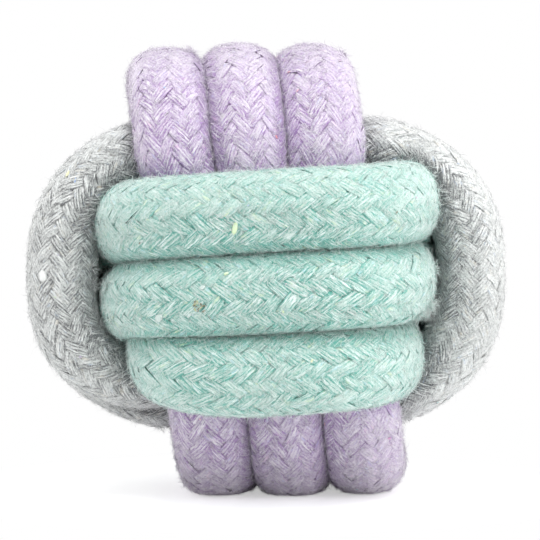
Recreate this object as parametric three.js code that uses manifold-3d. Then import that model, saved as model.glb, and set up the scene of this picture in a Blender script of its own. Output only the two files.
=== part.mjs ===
// A dog toy: a tight ball of three thick braided cotton ropes, one colour each.
// Each rope is wound three full turns round its own axis. The mint windings pass over the lilac
// ones, the lilac over the grey and the grey over the mint, so the three lock each other.
// A rope is a braided cover round a filler of straight yarn. Both of its ends turn in under the
// rope that passes over it, each squeezed and bound with thread, and a wad of waste cotton
// fills the middle of the ball.
//
// Millimetres, +Z up. The origin is under the middle of the ball, on the surface it stands on.
// The mint windings face -Y, the grey ones reach furthest along X, the lilac ones stand on Z.

import * as THREE from 'three';
import { mergeVertices } from 'three/addons/utils/BufferGeometryUtils.js';
import Module from 'manifold-3d';

const { lerp, smoothstep } = THREE.MathUtils;

// Counts

const turns = 3;
const stepsPerTurn = 24;
const finerSteps = 4;
const reachSteps = 4;
const coverSides = 12;
const fillerSides = 6;
const wadSteps = 3;

// The rope: round where it lies outermost, squeezed where another rope passes over it

const ropeWidth = 18.8;
const ropeThickness = 16.0;
const mintPitch = 17.8;
const lilacPitch = 17.0;
const greyPitch = 17.8;
const squeezedWidth = 13.0;
const squeezedThickness = 12.5;
const squeezedPitch = 12.6;
const coverWall = 2.6;
const fillerGap = 0.7;
const contactGap = 1.0;

// The bound ends

const endDiameter = 11.2;
const bindingThickness = 0.8;
const bindingLength = 8.0;
const bindingGap = 0.3;
const bindingSetBack = 2.0;
const bindingClearance = 0.3;
const endTuck = 9.6;
const endPitch = 8.6;

// The windings: how far the squeezed side lies from the middle of the ball, and what draws it in

const mintHold = 32.6;
const lilacHold = 32.0;
const greyHold = 30.8;
const outerDrawIn = 0.6;
const innerDrawIn = 2.4;
const mintTaper = 0.9;
const footFlat = 1.7;
const wadGap = 0.3;

// Shares and powers: how the sizes above pass into each other

const mintLoopPower = 3.4;
const lilacLoopPower = 2.68;
const greyLoopPower = 2.68;
const sectionPower = 2.3;
const pressPower = 24;
const startShare = 0.04;
const boundShare = 0.12;
const tuckShare = 0.21;
const mintSqueezeShares = [0.25, 0.62];
const lilacSqueezeShares = [0.36, 0.74];
const greySqueezeShares = [0.36, 0.74];
const cornerShare = 0.2;
const taperRowShare = 1;
const mintLeanShare = 0.5;
const lilacLeanShare = -0.9;

// Colours

const mintColour = 0xb4d3cb;
const lilacColour = 0xd2c4dd;
const greyColour = 0xc6c8c6;
const wadColour = 0xe6e1d6;

// What a bound end holds free round its squeezed cover.
const bindingOver = bindingGap + bindingThickness + bindingClearance;

// A loop reaches out over the squeezed side of the rope that it passes over.
function reachOver(hold) {
  return hold + squeezedThickness / 2 + contactGap + ropeThickness / 2;
}

// Each rope's own short, long and stacking direction, as the columns of a turned frame.
const X = new THREE.Vector3(1, 0, 0);
const Y = new THREE.Vector3(0, 1, 0);
const Z = new THREE.Vector3(0, 0, 1);
const ropes = [
  {
    name: 'mint', colour: mintColour, hold: mintHold, reach: reachOver(lilacHold),
    loopPower: mintLoopPower, squeezeShares: mintSqueezeShares, lean: mintLeanShare,
    pitch: mintPitch, taper: mintTaper,
    short: X.clone().negate(), long: Y.clone().negate(), stack: Z,
  },
  {
    name: 'lilac', colour: lilacColour, hold: lilacHold, reach: reachOver(greyHold),
    loopPower: lilacLoopPower, squeezeShares: lilacSqueezeShares, lean: lilacLeanShare,
    pitch: lilacPitch, taper: 0,
    short: Y, long: Z, stack: X,
  },
  {
    name: 'grey', colour: greyColour, hold: greyHold, reach: reachOver(mintHold),
    loopPower: greyLoopPower, squeezeShares: greySqueezeShares, lean: 0,
    pitch: greyPitch, taper: 0,
    short: Z.clone().negate(), long: X.clone().negate(), stack: Y,
  },
];

// One station of a winding. The loop is a superellipse that goes round the stacking direction
// while it climbs one row a turn. Its long side is round and wide, its short side squeezed.
// A lean makes it climb more on one side than on the other, and a taper makes the turns below
// the highest row smaller, as the ones that were pulled tightest.
function station(rope, turn) {
  const even = 2 * Math.PI * turn;
  const angle = even + (cornerShare * Math.sin(4 * even)) / 4;
  const row = angle / (2 * Math.PI) - turns / 2 + (rope.lean * Math.sin(angle)) / (2 * Math.PI);
  const across = Math.abs(Math.cos(angle));
  const along = Math.abs(Math.sin(angle));
  const freeShare = smoothstep(along, ...rope.squeezeShares);
  const toEnd = Math.min(turn, turns - turn);
  const boundPart = 1 - smoothstep(toEnd, startShare, startShare + boundShare);
  const tuckedPart = 1 - smoothstep(toEnd, startShare, startShare + tuckShare);
  const drawIn = innerDrawIn * row ** 2 * (1 - freeShare) + rope.taper * (row - taperRowShare) ** 2;
  const hold = rope.hold - lerp(drawIn, endTuck, tuckedPart);
  const reach = rope.reach - outerDrawIn * row * row;
  const power = rope.loopPower;
  const radius = ((across / hold) ** power + (along / reach) ** power) ** (-1 / power);
  const loopPitch = lerp(squeezedPitch, rope.pitch, freeShare);
  const pitch = lerp(loopPitch, endPitch, tuckedPart);
  const width = lerp(squeezedWidth, ropeWidth, freeShare);
  const thickness = lerp(squeezedThickness, ropeThickness, freeShare);
  const boundDiameter = endDiameter + 2 * bindingOver;
  const point = new THREE.Vector3()
    .addScaledVector(rope.short, radius * Math.cos(angle))
    .addScaledVector(rope.long, radius * Math.sin(angle))
    .addScaledVector(rope.stack, pitch * row);
  return {
    point,
    halfWidth: lerp(width, boundDiameter, boundPart) / 2,
    halfThickness: lerp(thickness, boundDiameter, boundPart) / 2,
    boundPart,
  };
}

// The stations of a whole rope, with a straight stretch of one diameter at each end.
function routeOf(rope, steps) {
  const count = Math.round(turns * steps);
  const stations = [];
  for (let i = 0; i <= count; i += 1) {
    stations.push(station(rope, lerp(startShare, turns - startShare, i / count)));
  }
  const tailSteps = steps / stepsPerTurn;
  for (let i = 0; i < tailSteps; i += 1) {
    stations.unshift(straightOn(stations[0], stations[1], endDiameter / tailSteps));
    stations.push(straightOn(stations.at(-1), stations.at(-2), endDiameter / tailSteps));
  }
  const towards = (from, to) => to.point.clone().sub(from.point).normalize();
  const startDirection = towards(stations[0], stations[tailSteps]);
  const finishDirection = towards(stations.at(-1 - tailSteps), stations.at(-1));
  let length = 0;
  stations.forEach((here, i) => {
    let tangent;
    if (i <= tailSteps) tangent = startDirection;
    else if (i >= stations.length - 1 - tailSteps) tangent = finishDirection;
    else tangent = towards(stations[i - 1], stations[i + 1]);
    length += i ? here.point.distanceTo(stations[i - 1].point) : 0;
    here.length = length;
    here.outward = tangent.clone().cross(rope.stack).normalize();
    here.sideways = tangent.clone().cross(here.outward);
  });
  return stations;
}

function straightOn(last, previous, distance) {
  const step = last.point.clone().sub(previous.point).setLength(distance);
  return { ...last, point: last.point.clone().add(step), boundPart: 1 };
}

// How far the rope's section reaches from its middle along a direction.
function sectionReach(here, direction) {
  const outward = direction.dot(here.outward);
  const sideways = direction.dot(here.sideways);
  const level = (Math.abs(outward) / here.halfThickness) ** sectionPower
    + (Math.abs(sideways) / here.halfWidth) ** sectionPower;
  return Math.hypot(outward, sideways) / level ** (1 / sectionPower);
}

// The neighbours that can press on a rope at one station: other ropes, and its own other turns.
function neighboursOf(rope, here) {
  const near = ropeWidth + ropeThickness / 2;
  const found = [];
  for (const other of ropes) {
    for (const there of other.fineRoute) {
      const own = other === rope && Math.abs(there.length - here.length) < rope.hold;
      if (own || there.point.distanceTo(here.point) > near) continue;
      const apart = there.point.clone().sub(here.point);
      const distance = apart.length();
      const direction = apart.divideScalar(distance);
      const mine = sectionReach(here, direction);
      const theirs = sectionReach(there, direction);
      const give = 1 - here.boundPart;
      const giveBoth = Math.max(give + 1 - there.boundPart, Number.EPSILON);
      const room = mine + (distance - mine - theirs - contactGap) * (give / giveBoth);
      found.push({ direction, room });
    }
  }
  return found;
}

// Where two ropes would run into each other both are flattened to the plane between them.
function pressedReach(here, direction, neighbours) {
  const free = sectionReach(here, direction);
  let room = Infinity;
  for (const neighbour of neighbours) {
    const facing = direction.dot(neighbour.direction);
    if (facing > 0) room = Math.min(room, neighbour.room / facing);
  }
  return (free ** -pressPower + room ** -pressPower) ** (-1 / pressPower);
}

// The rings of vertex places along a rope: directions and reaches from the middle of the rope.
// A side keeps the most that its neighbours leave it anywhere up to the next rings.
function ringsOf(rope) {
  const leftShares = rope.fineRoute.map((here) => {
    const neighbours = neighboursOf(rope, here);
    return sideDirections(here).map((direction) => (
      pressedReach(here, direction, neighbours) / sectionReach(here, direction)
    ));
  });
  return rope.route.map((here, i) => {
    const from = Math.max(i * finerSteps - reachSteps, 0);
    const to = Math.min(i * finerSteps + reachSteps, leftShares.length - 1);
    const around = leftShares.slice(from, to + 1);
    return sideDirections(here).map((direction, side) => {
      const free = sectionReach(here, direction);
      const pressed = free * Math.min(...around.map((shares) => shares[side]));
      const reach = here.boundPart === 1 ? free - bindingOver : pressed;
      return { middle: here.point, direction, reach, wall: (coverWall * reach) / free };
    });
  });
}

function sideDirections(here) {
  return Array.from({ length: coverSides }, (_, side) => {
    const turn = (2 * Math.PI * side) / coverSides;
    return new THREE.Vector3()
      .addScaledVector(here.outward, here.halfThickness * Math.cos(turn))
      .addScaledVector(here.sideways, here.halfWidth * Math.sin(turn))
      .normalize();
  });
}

function placeAt(spot, inset) {
  return spot.middle.clone().addScaledVector(spot.direction, spot.reach - inset);
}

function outerRings(rings) {
  return rings.map((ring) => ring.map((spot) => placeAt(spot, 0)));
}

// Rings of points inside the cover's wall, with only as many sides as the filler has.
function innerRings(rings, gap) {
  const every = coverSides / fillerSides;
  return rings.map((ring) => ring.filter((_, side) => side % every === 0)
    .map((spot) => placeAt(spot, spot.wall + gap)));
}

// A closed mesh from rings of points that are joined one after another.
function skin(rings, closedLoop) {
  const sides = rings[0].length;
  const corners = [];
  const quad = (a, b, c, d) => corners.push(a, b, c, a, c, d);
  const last = closedLoop ? rings.length : rings.length - 1;
  for (let i = 0; i < last; i += 1) {
    const here = rings[i];
    const next = rings[(i + 1) % rings.length];
    for (let side = 0; side < sides; side += 1) {
      const beside = (side + 1) % sides;
      quad(here[side], here[beside], next[beside], next[side]);
    }
  }
  return corners;
}

// A flat end between the cover's outline and its bore, or a filled one where there is no bore.
function endFace(outline, bore) {
  const corners = [];
  if (!bore) {
    for (let side = 1; side + 1 < outline.length; side += 1) {
      corners.push(outline[0], outline[side], outline[side + 1]);
    }
    return corners;
  }
  const every = outline.length / bore.length;
  bore.forEach((inner, i) => {
    const nextInner = bore[(i + 1) % bore.length];
    for (let step = 0; step < every; step += 1) {
      const side = i * every + step;
      corners.push(outline[side], outline[(side + 1) % outline.length], inner);
    }
    corners.push(inner, outline[((i + 1) * every) % outline.length], nextInner);
  });
  return corners;
}

function turnedOver(corners) {
  const turned = [];
  for (let i = 0; i < corners.length; i += 3) turned.push(corners[i], corners[i + 2], corners[i + 1]);
  return turned;
}

function meshGeometry(corners) {
  const geometry = new THREE.BufferGeometry().setFromPoints(corners);
  return mergeVertices(geometry);
}

function coverGeometry(rings) {
  const outside = outerRings(rings);
  const bore = innerRings(rings, 0);
  return meshGeometry([
    ...skin(outside, false),
    ...turnedOver(skin(bore, false)),
    ...turnedOver(endFace(outside[0], bore[0])),
    ...endFace(outside.at(-1), bore.at(-1)),
  ]);
}

function fillerGeometry(rings) {
  const outside = innerRings(rings, fillerGap);
  return meshGeometry([
    ...skin(outside, false),
    ...turnedOver(endFace(outside[0])),
    ...endFace(outside.at(-1)),
  ]);
}

// The thread round a bound end: a sleeve that follows the squeezed end of the cover.
function bindingGeometry(rings, end) {
  const tip = end === 'start' ? rings[0] : rings.at(-1);
  const root = end === 'start' ? rings[1] : rings.at(-2);
  const along = root[0].middle.clone().sub(tip[0].middle).normalize();
  const places = [
    [bindingGap, bindingSetBack],
    [bindingGap + bindingThickness, bindingSetBack],
    [bindingGap + bindingThickness, bindingSetBack + bindingLength],
    [bindingGap, bindingSetBack + bindingLength],
  ];
  const sleeve = places.map(([outset, back]) => (
    tip.map((spot) => placeAt(spot, -outset).addScaledVector(along, back))
  ));
  const corners = skin(sleeve, true);
  return meshGeometry(end === 'start' ? corners : turnedOver(corners));
}

// The smallest distance from the middle of the ball to the faces of a piece.
function nearestToMiddle(geometry) {
  const middle = new THREE.Vector3();
  const place = geometry.attributes.position;
  const index = geometry.index;
  const face = new THREE.Triangle();
  const nearest = new THREE.Vector3();
  let least = Infinity;
  for (let i = 0; i < index.count; i += 3) {
    face.setFromAttributeAndIndices(place, index.getX(i), index.getX(i + 1), index.getX(i + 2));
    least = Math.min(least, face.closestPointToPoint(middle, nearest).length());
  }
  return least;
}

// The least gap between a rope's own turns, on points along its edges.
function ownGap(rope) {
  const rings = outerRings(rope.rings);
  let least = Infinity;
  rings.forEach((ring, i) => {
    for (let k = i + stepsPerTurn / 2; k < rings.length; k += 1) {
      for (const one of ring) {
        for (let side = 0; side < coverSides; side += 1) {
          const edge = new THREE.Line3(rings[k][side], rings[(k + 1) % rings.length][side]);
          const across = new THREE.Line3(rings[k][side], rings[k][(side + 1) % coverSides]);
          const nearest = k + 1 < rings.length ? [edge, across] : [across];
          for (const line of nearest) {
            const place = line.closestPointToPoint(one, true, new THREE.Vector3());
            least = Math.min(least, place.distanceTo(one));
          }
        }
      }
    }
  });
  return least;
}

const wasm = await Module();
wasm.setup();

function solidOf(geometry) {
  const bare = geometry.clone();
  bare.deleteAttribute('normal');
  bare.deleteAttribute('uv');
  const merged = mergeVertices(bare);
  return new wasm.Manifold(new wasm.Mesh({
    numProp: 3,
    vertProperties: new Float32Array(merged.attributes.position.array),
    triVerts: new Uint32Array(merged.index.array),
  }));
}

function geometryOf(solid) {
  const mesh = solid.getMesh();
  const geometry = new THREE.BufferGeometry();
  geometry.setAttribute('position', new THREE.BufferAttribute(new Float32Array(mesh.vertProperties), 3));
  geometry.setIndex(new THREE.BufferAttribute(new Uint32Array(mesh.triVerts), 1));
  return geometry;
}

function cottonMesh(name, geometry, colour) {
  const material = new THREE.MeshStandardMaterial({ color: colour, roughness: 0.95, metalness: 0 });
  const mesh = new THREE.Mesh(geometry, material);
  mesh.name = name;
  return mesh;
}

// The surface that the ball stands on cuts the lowest turns flat.
function cutFoot(geometry, floor) {
  const size = 2 * reachOver(mintHold) + 2 * ropeWidth;
  const block = new THREE.BoxGeometry(size, size, size);
  block.translate(0, 0, floor - size / 2);
  return geometryOf(solidOf(geometry).subtract(solidOf(block)));
}

for (const rope of ropes) {
  rope.route = routeOf(rope, stepsPerTurn);
  rope.fineRoute = routeOf(rope, stepsPerTurn * finerSteps);
}
for (const rope of ropes) rope.rings = ringsOf(rope);

let lowest = Infinity;
for (const rope of ropes) {
  for (const ring of outerRings(rope.rings)) {
    for (const place of ring) lowest = Math.min(lowest, place.z);
  }
}
const floor = lowest + footFlat;

const ball = new THREE.Group();
ball.position.z = -floor;
for (const rope of ropes) {
  const cover = cutFoot(coverGeometry(rope.rings), floor);
  ball.add(cottonMesh(`${rope.name}_rope_cover`, cover, rope.colour));
  ball.add(cottonMesh(`${rope.name}_rope_filler`, fillerGeometry(rope.rings), wadColour));
  for (const end of ['start', 'finish']) {
    ball.add(cottonMesh(`${rope.name}_${end}_binding`, bindingGeometry(rope.rings, end), rope.colour));
  }
  const length = rope.fineRoute.at(-1).length.toFixed(0);
  const gap = ownGap(rope).toFixed(2);
  console.log(`${rope.name} rope: ${length} mm long, least gap to itself ${gap} mm`);
}
const wadRadius = Math.min(...ball.children.map((piece) => nearestToMiddle(piece.geometry))) - wadGap;
ball.add(cottonMesh('stuffing_wad', new THREE.IcosahedronGeometry(wadRadius, wadSteps), wadColour));
console.log(`stuffing wad: ${(2 * wadRadius).toFixed(1)} mm across`);

export default ball;
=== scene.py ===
# %% [markdown]
# # A ball of three braided cotton ropes
# This scene dresses a dog toy: three thick cotton ropes, mint, lilac and grey, each wound three turns
# round its own axis and locked under the next one. What the eye reads is the braid: herringbone rows
# of short stitches, each stitch a flat bunch of four soft yarns, with a haze of cotton fibre over it.
# The solid model gives the size and the route. Here every stitch is a small modelled patch that lies
# on the same rope, so the braid is real shape and not a picture.

# %% Load the solid model
import math
import bmesh
import bpy
import numpy as np
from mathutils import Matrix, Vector


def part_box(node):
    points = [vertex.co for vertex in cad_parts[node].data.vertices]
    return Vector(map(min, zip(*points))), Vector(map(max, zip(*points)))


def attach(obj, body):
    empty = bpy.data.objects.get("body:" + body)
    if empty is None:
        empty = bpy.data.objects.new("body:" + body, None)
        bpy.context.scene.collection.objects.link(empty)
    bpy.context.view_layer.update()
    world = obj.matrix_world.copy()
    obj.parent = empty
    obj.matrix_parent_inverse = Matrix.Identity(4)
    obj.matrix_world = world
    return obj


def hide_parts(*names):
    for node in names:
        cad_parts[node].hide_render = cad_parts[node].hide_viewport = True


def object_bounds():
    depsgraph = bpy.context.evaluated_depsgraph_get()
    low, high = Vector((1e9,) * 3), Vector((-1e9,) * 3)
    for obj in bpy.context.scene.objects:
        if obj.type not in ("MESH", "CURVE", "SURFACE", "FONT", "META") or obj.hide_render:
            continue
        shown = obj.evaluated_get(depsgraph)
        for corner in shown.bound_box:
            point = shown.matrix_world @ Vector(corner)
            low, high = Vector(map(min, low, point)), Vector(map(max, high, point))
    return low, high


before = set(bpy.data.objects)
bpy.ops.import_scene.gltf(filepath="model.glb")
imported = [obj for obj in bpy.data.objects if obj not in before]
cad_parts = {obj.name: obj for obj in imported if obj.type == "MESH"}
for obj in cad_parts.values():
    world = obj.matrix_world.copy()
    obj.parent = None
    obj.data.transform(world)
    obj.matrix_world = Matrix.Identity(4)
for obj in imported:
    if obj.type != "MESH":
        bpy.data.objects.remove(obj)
cad_low, cad_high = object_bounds()
MM = 0.001
cad_size = [(high - low) / MM for low, high in zip(cad_low, cad_high)]
print("solid model, mm:", [round(size, 1) for size in cad_size])

# %% [markdown]
# ## The camera
# The photograph looks at the mint windings from the front, a few degrees above level, from about
# arm's length. The lens is worked out from how many pixels wide the ball is in the picture.

# %% Camera
PHOTO_SIDE = 540
BALL_LEFT_PX, BALL_RIGHT_PX = 28, 505
BALL_TOP_PX, BALL_BOTTOM_PX = 42, 497
CAMERA_DISTANCE = 640.0
CAMERA_ELEVATION = math.radians(2.2)
SENSOR_WIDTH = 36.0
FUZZ_STAND = 1.1
OUTLINE_DROP_PX = 2.0

foot_flat = 1.7
middle_height = (cad_size[2] - foot_flat) / 2
px_per_mm = (BALL_RIGHT_PX - BALL_LEFT_PX) / (cad_size[0] + 2 * FUZZ_STAND)
centre_px = ((BALL_LEFT_PX + BALL_RIGHT_PX) / 2, (BALL_TOP_PX + BALL_BOTTOM_PX) / 2 - OUTLINE_DROP_PX)
camera_data = bpy.data.cameras.new("camera")
camera_data.sensor_width = SENSOR_WIDTH
camera_data.lens = SENSOR_WIDTH * px_per_mm * CAMERA_DISTANCE / PHOTO_SIDE
camera_data.clip_start = 0.01
camera_data.shift_x = (PHOTO_SIDE / 2 - centre_px[0]) / PHOTO_SIDE
camera_data.shift_y = (centre_px[1] - PHOTO_SIDE / 2) / PHOTO_SIDE
camera = bpy.data.objects.new("camera", camera_data)
bpy.context.scene.collection.objects.link(camera)
target = Vector((0, 0, cad_size[2] / 2)) * MM
towards_camera = Vector((0, -math.cos(CAMERA_ELEVATION), math.sin(CAMERA_ELEVATION)))
camera.location = target + towards_camera * CAMERA_DISTANCE * MM
camera.rotation_euler = (-towards_camera).to_track_quat("-Z", "Y").to_euler()
bpy.context.scene.camera = camera
print("lens, mm:", round(camera_data.lens, 1))

# %% [markdown]
# ## The winding
# A rope's middle line is a superellipse, a loop between an ellipse and a rectangle, that climbs one
# row each turn. On its long side the rope lies outermost and keeps its full width. On its short side
# the next rope passes over it and squeezes it. The same route builds the solid model. Deep under the
# next rope the section swells here, so that the soft ropes fill the corners between them.

# %% Sizes of the ropes, in millimetres
TURNS = 3
STEPS_PER_TURN = 120
SECTION_SIDES = 72

ROPE_WIDTH, ROPE_THICKNESS = 18.8, 16.0
SQUEEZED_WIDTH, SQUEEZED_THICKNESS, SQUEEZED_PITCH = 13.0, 12.5, 12.6
CONTACT_GAP = 1.0
END_DIAMETER, END_TUCK, END_PITCH = 11.2, 9.6, 8.6
BINDING_OVER = 1.4
OUTER_DRAW_IN, INNER_DRAW_IN = 0.6, 2.4
HOLDS = {"mint": 32.6, "lilac": 32.0, "grey": 30.8}

SECTION_POWER, SQUEEZED_POWER, PRESS_POWER = 2.3, 12.0, 32
DEEP_SWELL, DEEP_SHARE = 3.6, 0.6
START_SHARE, BOUND_SHARE, TUCK_SHARE = 0.04, 0.12, 0.21
CORNER_SHARE = 0.2
TAPER_ROW = 1
TAIL_STEPS = STEPS_PER_TURN // 24

# Each rope's loop lies in its short and long direction and climbs in its stacking direction.
ROPES = {
    "mint": {"over": "lilac", "short": (-1, 0, 0), "long": (0, -1, 0), "stack": (0, 0, 1),
             "lean": 0.5, "loop_power": 3.4, "squeeze": (0.25, 0.62), "pitch": 17.8, "taper": 0.9},
    "lilac": {"over": "grey", "short": (0, 1, 0), "long": (0, 0, 1), "stack": (1, 0, 0),
              "lean": -0.9, "loop_power": 2.68, "squeeze": (0.36, 0.74), "pitch": 17.0, "taper": 0.0},
    "grey": {"over": "mint", "short": (0, 0, -1), "long": (-1, 0, 0), "stack": (0, 1, 0),
             "lean": 0.0, "loop_power": 2.68, "squeeze": (0.36, 0.74), "pitch": 17.8, "taper": 0.0},
}


def mix(low, high, share):
    """Goes from low to high in a straight line as share goes from 0 to 1."""
    return low + (high - low) * share


def ease(value, start, end):
    """Rises from 0 at start to 1 at end along an S curve."""
    t = np.clip((value - start) / (end - start), 0, 1)
    return t * t * (3 - 2 * t)


def unit(vectors):
    """Each vector divided by its length."""
    return vectors / np.linalg.norm(vectors, axis=-1, keepdims=True)


# %% The middle line of a rope
def stations(rope, turn):
    """Places and half sizes of the section along a winding. In the loop's own plane the radius
    follows (|cos| / hold) ^ p + (|sin| / reach) ^ p = radius ^ -p."""
    even = 2 * np.pi * turn
    angle = even + CORNER_SHARE * np.sin(4 * even) / 4
    row = angle / (2 * np.pi) - TURNS / 2 + rope["lean"] * np.sin(angle) / (2 * np.pi)
    across, along = np.abs(np.cos(angle)), np.abs(np.sin(angle))
    free = ease(along, *rope["squeeze"])
    to_end = np.minimum(turn, TURNS - turn)
    bound = 1 - ease(to_end, START_SHARE, START_SHARE + BOUND_SHARE)
    tucked = 1 - ease(to_end, START_SHARE, START_SHARE + TUCK_SHARE)
    draw_in = INNER_DRAW_IN * row**2 * (1 - free) + rope["taper"] * (row - TAPER_ROW) ** 2
    hold = rope["hold"] - mix(draw_in, END_TUCK, tucked)
    reach = rope["reach"] - OUTER_DRAW_IN * row**2
    loop_power = rope["loop_power"]
    radius = ((across / hold) ** loop_power + (along / reach) ** loop_power) ** (-1 / loop_power)
    pitch = mix(mix(SQUEEZED_PITCH, rope["pitch"], free), END_PITCH, tucked)
    bound_size = END_DIAMETER + 2 * BINDING_OVER
    places = (
        (radius * np.cos(angle))[:, None] * rope["short"]
        + (radius * np.sin(angle))[:, None] * rope["long"]
        + (pitch * row)[:, None] * rope["stack"]
    )
    deep = 1 - ease(free, 0, DEEP_SHARE)
    swell = DEEP_SWELL * deep
    half_width = mix(mix(SQUEEZED_WIDTH, ROPE_WIDTH, free) + swell, bound_size, bound) / 2
    half_thickness = mix(mix(SQUEEZED_THICKNESS, ROPE_THICKNESS, free) + swell, bound_size, bound) / 2
    power = mix(mix(SECTION_POWER, SQUEEZED_POWER, deep), SECTION_POWER, bound)
    return places, half_width, half_thickness, power, bound


def lay_route(rope):
    """The whole middle line: three turns and a straight tail of one diameter at each end, with the
    outward and sideways direction of the section at every station."""
    turn = np.linspace(START_SHARE, TURNS - START_SHARE, TURNS * STEPS_PER_TURN + 1)
    places, half_width, half_thickness, section_power, bound = stations(rope, turn)
    away = np.arange(TAIL_STEPS, 0, -1)[:, None] * END_DIAMETER / TAIL_STEPS
    first = unit(places[0] - places[1])
    last = unit(places[-1] - places[-2])
    places = np.concatenate([places[0] + away * first, places, places[-1] + away[::-1] * last])
    tangent = np.gradient(places, axis=0)
    tangent[: TAIL_STEPS + 1], tangent[-TAIL_STEPS - 1:] = -first, last
    tangent = unit(tangent)
    rope["places"] = places
    rope["tangent"] = tangent
    rope["outward"] = unit(np.cross(tangent, rope["stack"]))
    rope["sideways"] = np.cross(tangent, rope["outward"])
    parts = ("half_width", "half_thickness", "power", "bound")
    for part, value in zip(parts, (half_width, half_thickness, section_power, bound)):
        rope[part] = np.pad(value, TAIL_STEPS, mode="edge")
    steps = np.linalg.norm(np.diff(places, axis=0), axis=1)
    rope["length"] = np.concatenate([[0], np.cumsum(steps)])


for name, rope in ROPES.items():
    rope["name"] = name
    rope["hold"] = HOLDS[name]
    rope["reach"] = HOLDS[rope["over"]] + SQUEEZED_THICKNESS / 2 + CONTACT_GAP + ROPE_THICKNESS / 2
    for side in ("short", "long", "stack"):
        rope[side] = np.array(rope[side], float)
    lay_route(rope)
    print(name, "rope, mm long:", round(rope["length"][-1]))

# %% [markdown]
# ## How the ropes press on each other
# Cotton rope is soft: where two turns meet, both flatten to the plane between them. For each station
# the nearby stations of every rope are found, and the section is cut back smoothly where one of them
# would run into it. All pairs are worked out at once as arrays.

# %% Pressing
SOFT_GAP = -0.3
MOST_ROOM = 2.0


def section_reach(outward, sideways, half_thickness, half_width, power=SECTION_POWER):
    """Radius of the section, a superellipse, along a direction given by its two parts."""
    level = (np.abs(outward) / half_thickness) ** power + (np.abs(sideways) / half_width) ** power
    return np.hypot(outward, sideways) * level ** (-1 / power)


def side_directions(rope):
    """Directions from the middle line to the sides of the section, evenly spread round it."""
    around = 2 * np.pi * np.arange(SECTION_SIDES) / SECTION_SIDES
    thick = rope["half_thickness"][:, None] * np.cos(around)
    wide = rope["half_width"][:, None] * np.sin(around)
    scale = np.hypot(thick, wide)
    thick, wide = thick / scale, wide / scale
    directions = thick[..., None] * rope["outward"][:, None] + wide[..., None] * rope["sideways"][:, None]
    sizes = (rope[part][:, None] for part in ("half_thickness", "half_width", "power"))
    return directions, section_reach(thick, wide, *sizes)


def room_beside(rope, other, directions):
    """The room that another rope leaves in each direction: the plane between two stations lies where
    their sections would meet, and a bound end doesn't give way."""
    apart = other["places"][None] - rope["places"][:, None]
    distance = np.linalg.norm(apart, axis=2)
    near = distance < ROPE_WIDTH + ROPE_THICKNESS / 2
    if other is rope:
        near &= np.abs(rope["length"][:, None] - rope["length"][None]) >= rope["hold"]
    distance = np.where(near, distance, 1)
    apart = apart / distance[..., None]
    mine = section_reach(
        np.einsum("ijk,ik->ij", apart, rope["outward"]), np.einsum("ijk,ik->ij", apart, rope["sideways"]),
        *(rope[part][:, None] for part in ("half_thickness", "half_width", "power")),
    )
    theirs = section_reach(
        np.einsum("ijk,jk->ij", apart, other["outward"]), np.einsum("ijk,jk->ij", apart, other["sideways"]),
        *(other[part][None] for part in ("half_thickness", "half_width", "power")),
    )
    give = 1 - rope["bound"][:, None]
    give_both = np.maximum(give + 1 - other["bound"][None], 1e-9)
    room = mine + (distance - mine - theirs - SOFT_GAP) * give / give_both
    room = np.where(near, room, np.inf)
    facing = np.einsum("iak,ijk->iaj", directions, apart)
    with np.errstate(divide="ignore", invalid="ignore"):
        limit = np.where(facing > 1e-3, room[:, None] / facing, np.inf)
    return limit.min(axis=2)


def press(rope):
    """Radius of the pressed section in every direction: the free one and the room, blended by a high
    power so that the edge of the flat stays a little round."""
    directions, free = side_directions(rope)
    room = np.min([room_beside(rope, other, directions) for other in ROPES.values()], axis=0)
    pressed = (free**-PRESS_POWER + room**-PRESS_POWER) ** (-1 / PRESS_POWER)
    bound = rope["bound"][:, None] > 0.999
    rope["reach_round"] = np.where(bound, free - BINDING_OVER, pressed)
    rope["room_share"] = np.where(bound, 0, np.clip(room / free, 0, MOST_ROOM))
    least = float((pressed / free).min())
    print(rope["name"], "least share of its size left by its neighbours:", round(least, 2))
    rope["directions"] = directions


for rope in ROPES.values():
    press(rope)

# %% [markdown]
# ## The rope's surface as a map
# The pressed sections make a grid of points, one row for each station. Reading it between its points
# turns any place on the rope, so far along and so far round, into a point and the direction that
# faces out of the rope there. The braid, the fuzz and the flecks are all laid out with this map.

# %% Surface map
def make_surface(rope):
    """Grid of surface points and outward normals, with one more column that closes the round."""
    points = rope["places"][:, None] + rope["directions"] * rope["reach_round"][..., None]
    along = np.gradient(points, axis=0)
    round_ = np.roll(points, -1, axis=1) - np.roll(points, 1, axis=1)
    normals = unit(np.cross(along, round_))
    inward = np.einsum("ijk,ijk->ij", normals, rope["directions"]) < 0
    normals[inward] *= -1
    rope["surface"] = np.concatenate([points, points[:, :1]], axis=1)
    rope["normals"] = np.concatenate([normals, normals[:, :1]], axis=1)
    rope["openness"] = np.concatenate([rope["room_share"], rope["room_share"][:, :1]], axis=1)


def even_round():
    """Table from an even way round the free section to the angle used by the grid."""
    around = 2 * np.pi * np.arange(SECTION_SIDES + 1) / SECTION_SIDES
    thick, wide = ROPE_THICKNESS / 2 * np.cos(around), ROPE_WIDTH / 2 * np.sin(around)
    radius = section_reach(thick, wide, ROPE_THICKNESS / 2, ROPE_WIDTH / 2) / np.hypot(thick, wide)
    steps = np.hypot(np.diff(thick * radius), np.diff(wide * radius))
    way = np.concatenate([[0], np.cumsum(steps)])
    return way / way[-1], way[-1]


ROUND_TABLE, PERIMETER = even_round()


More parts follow.
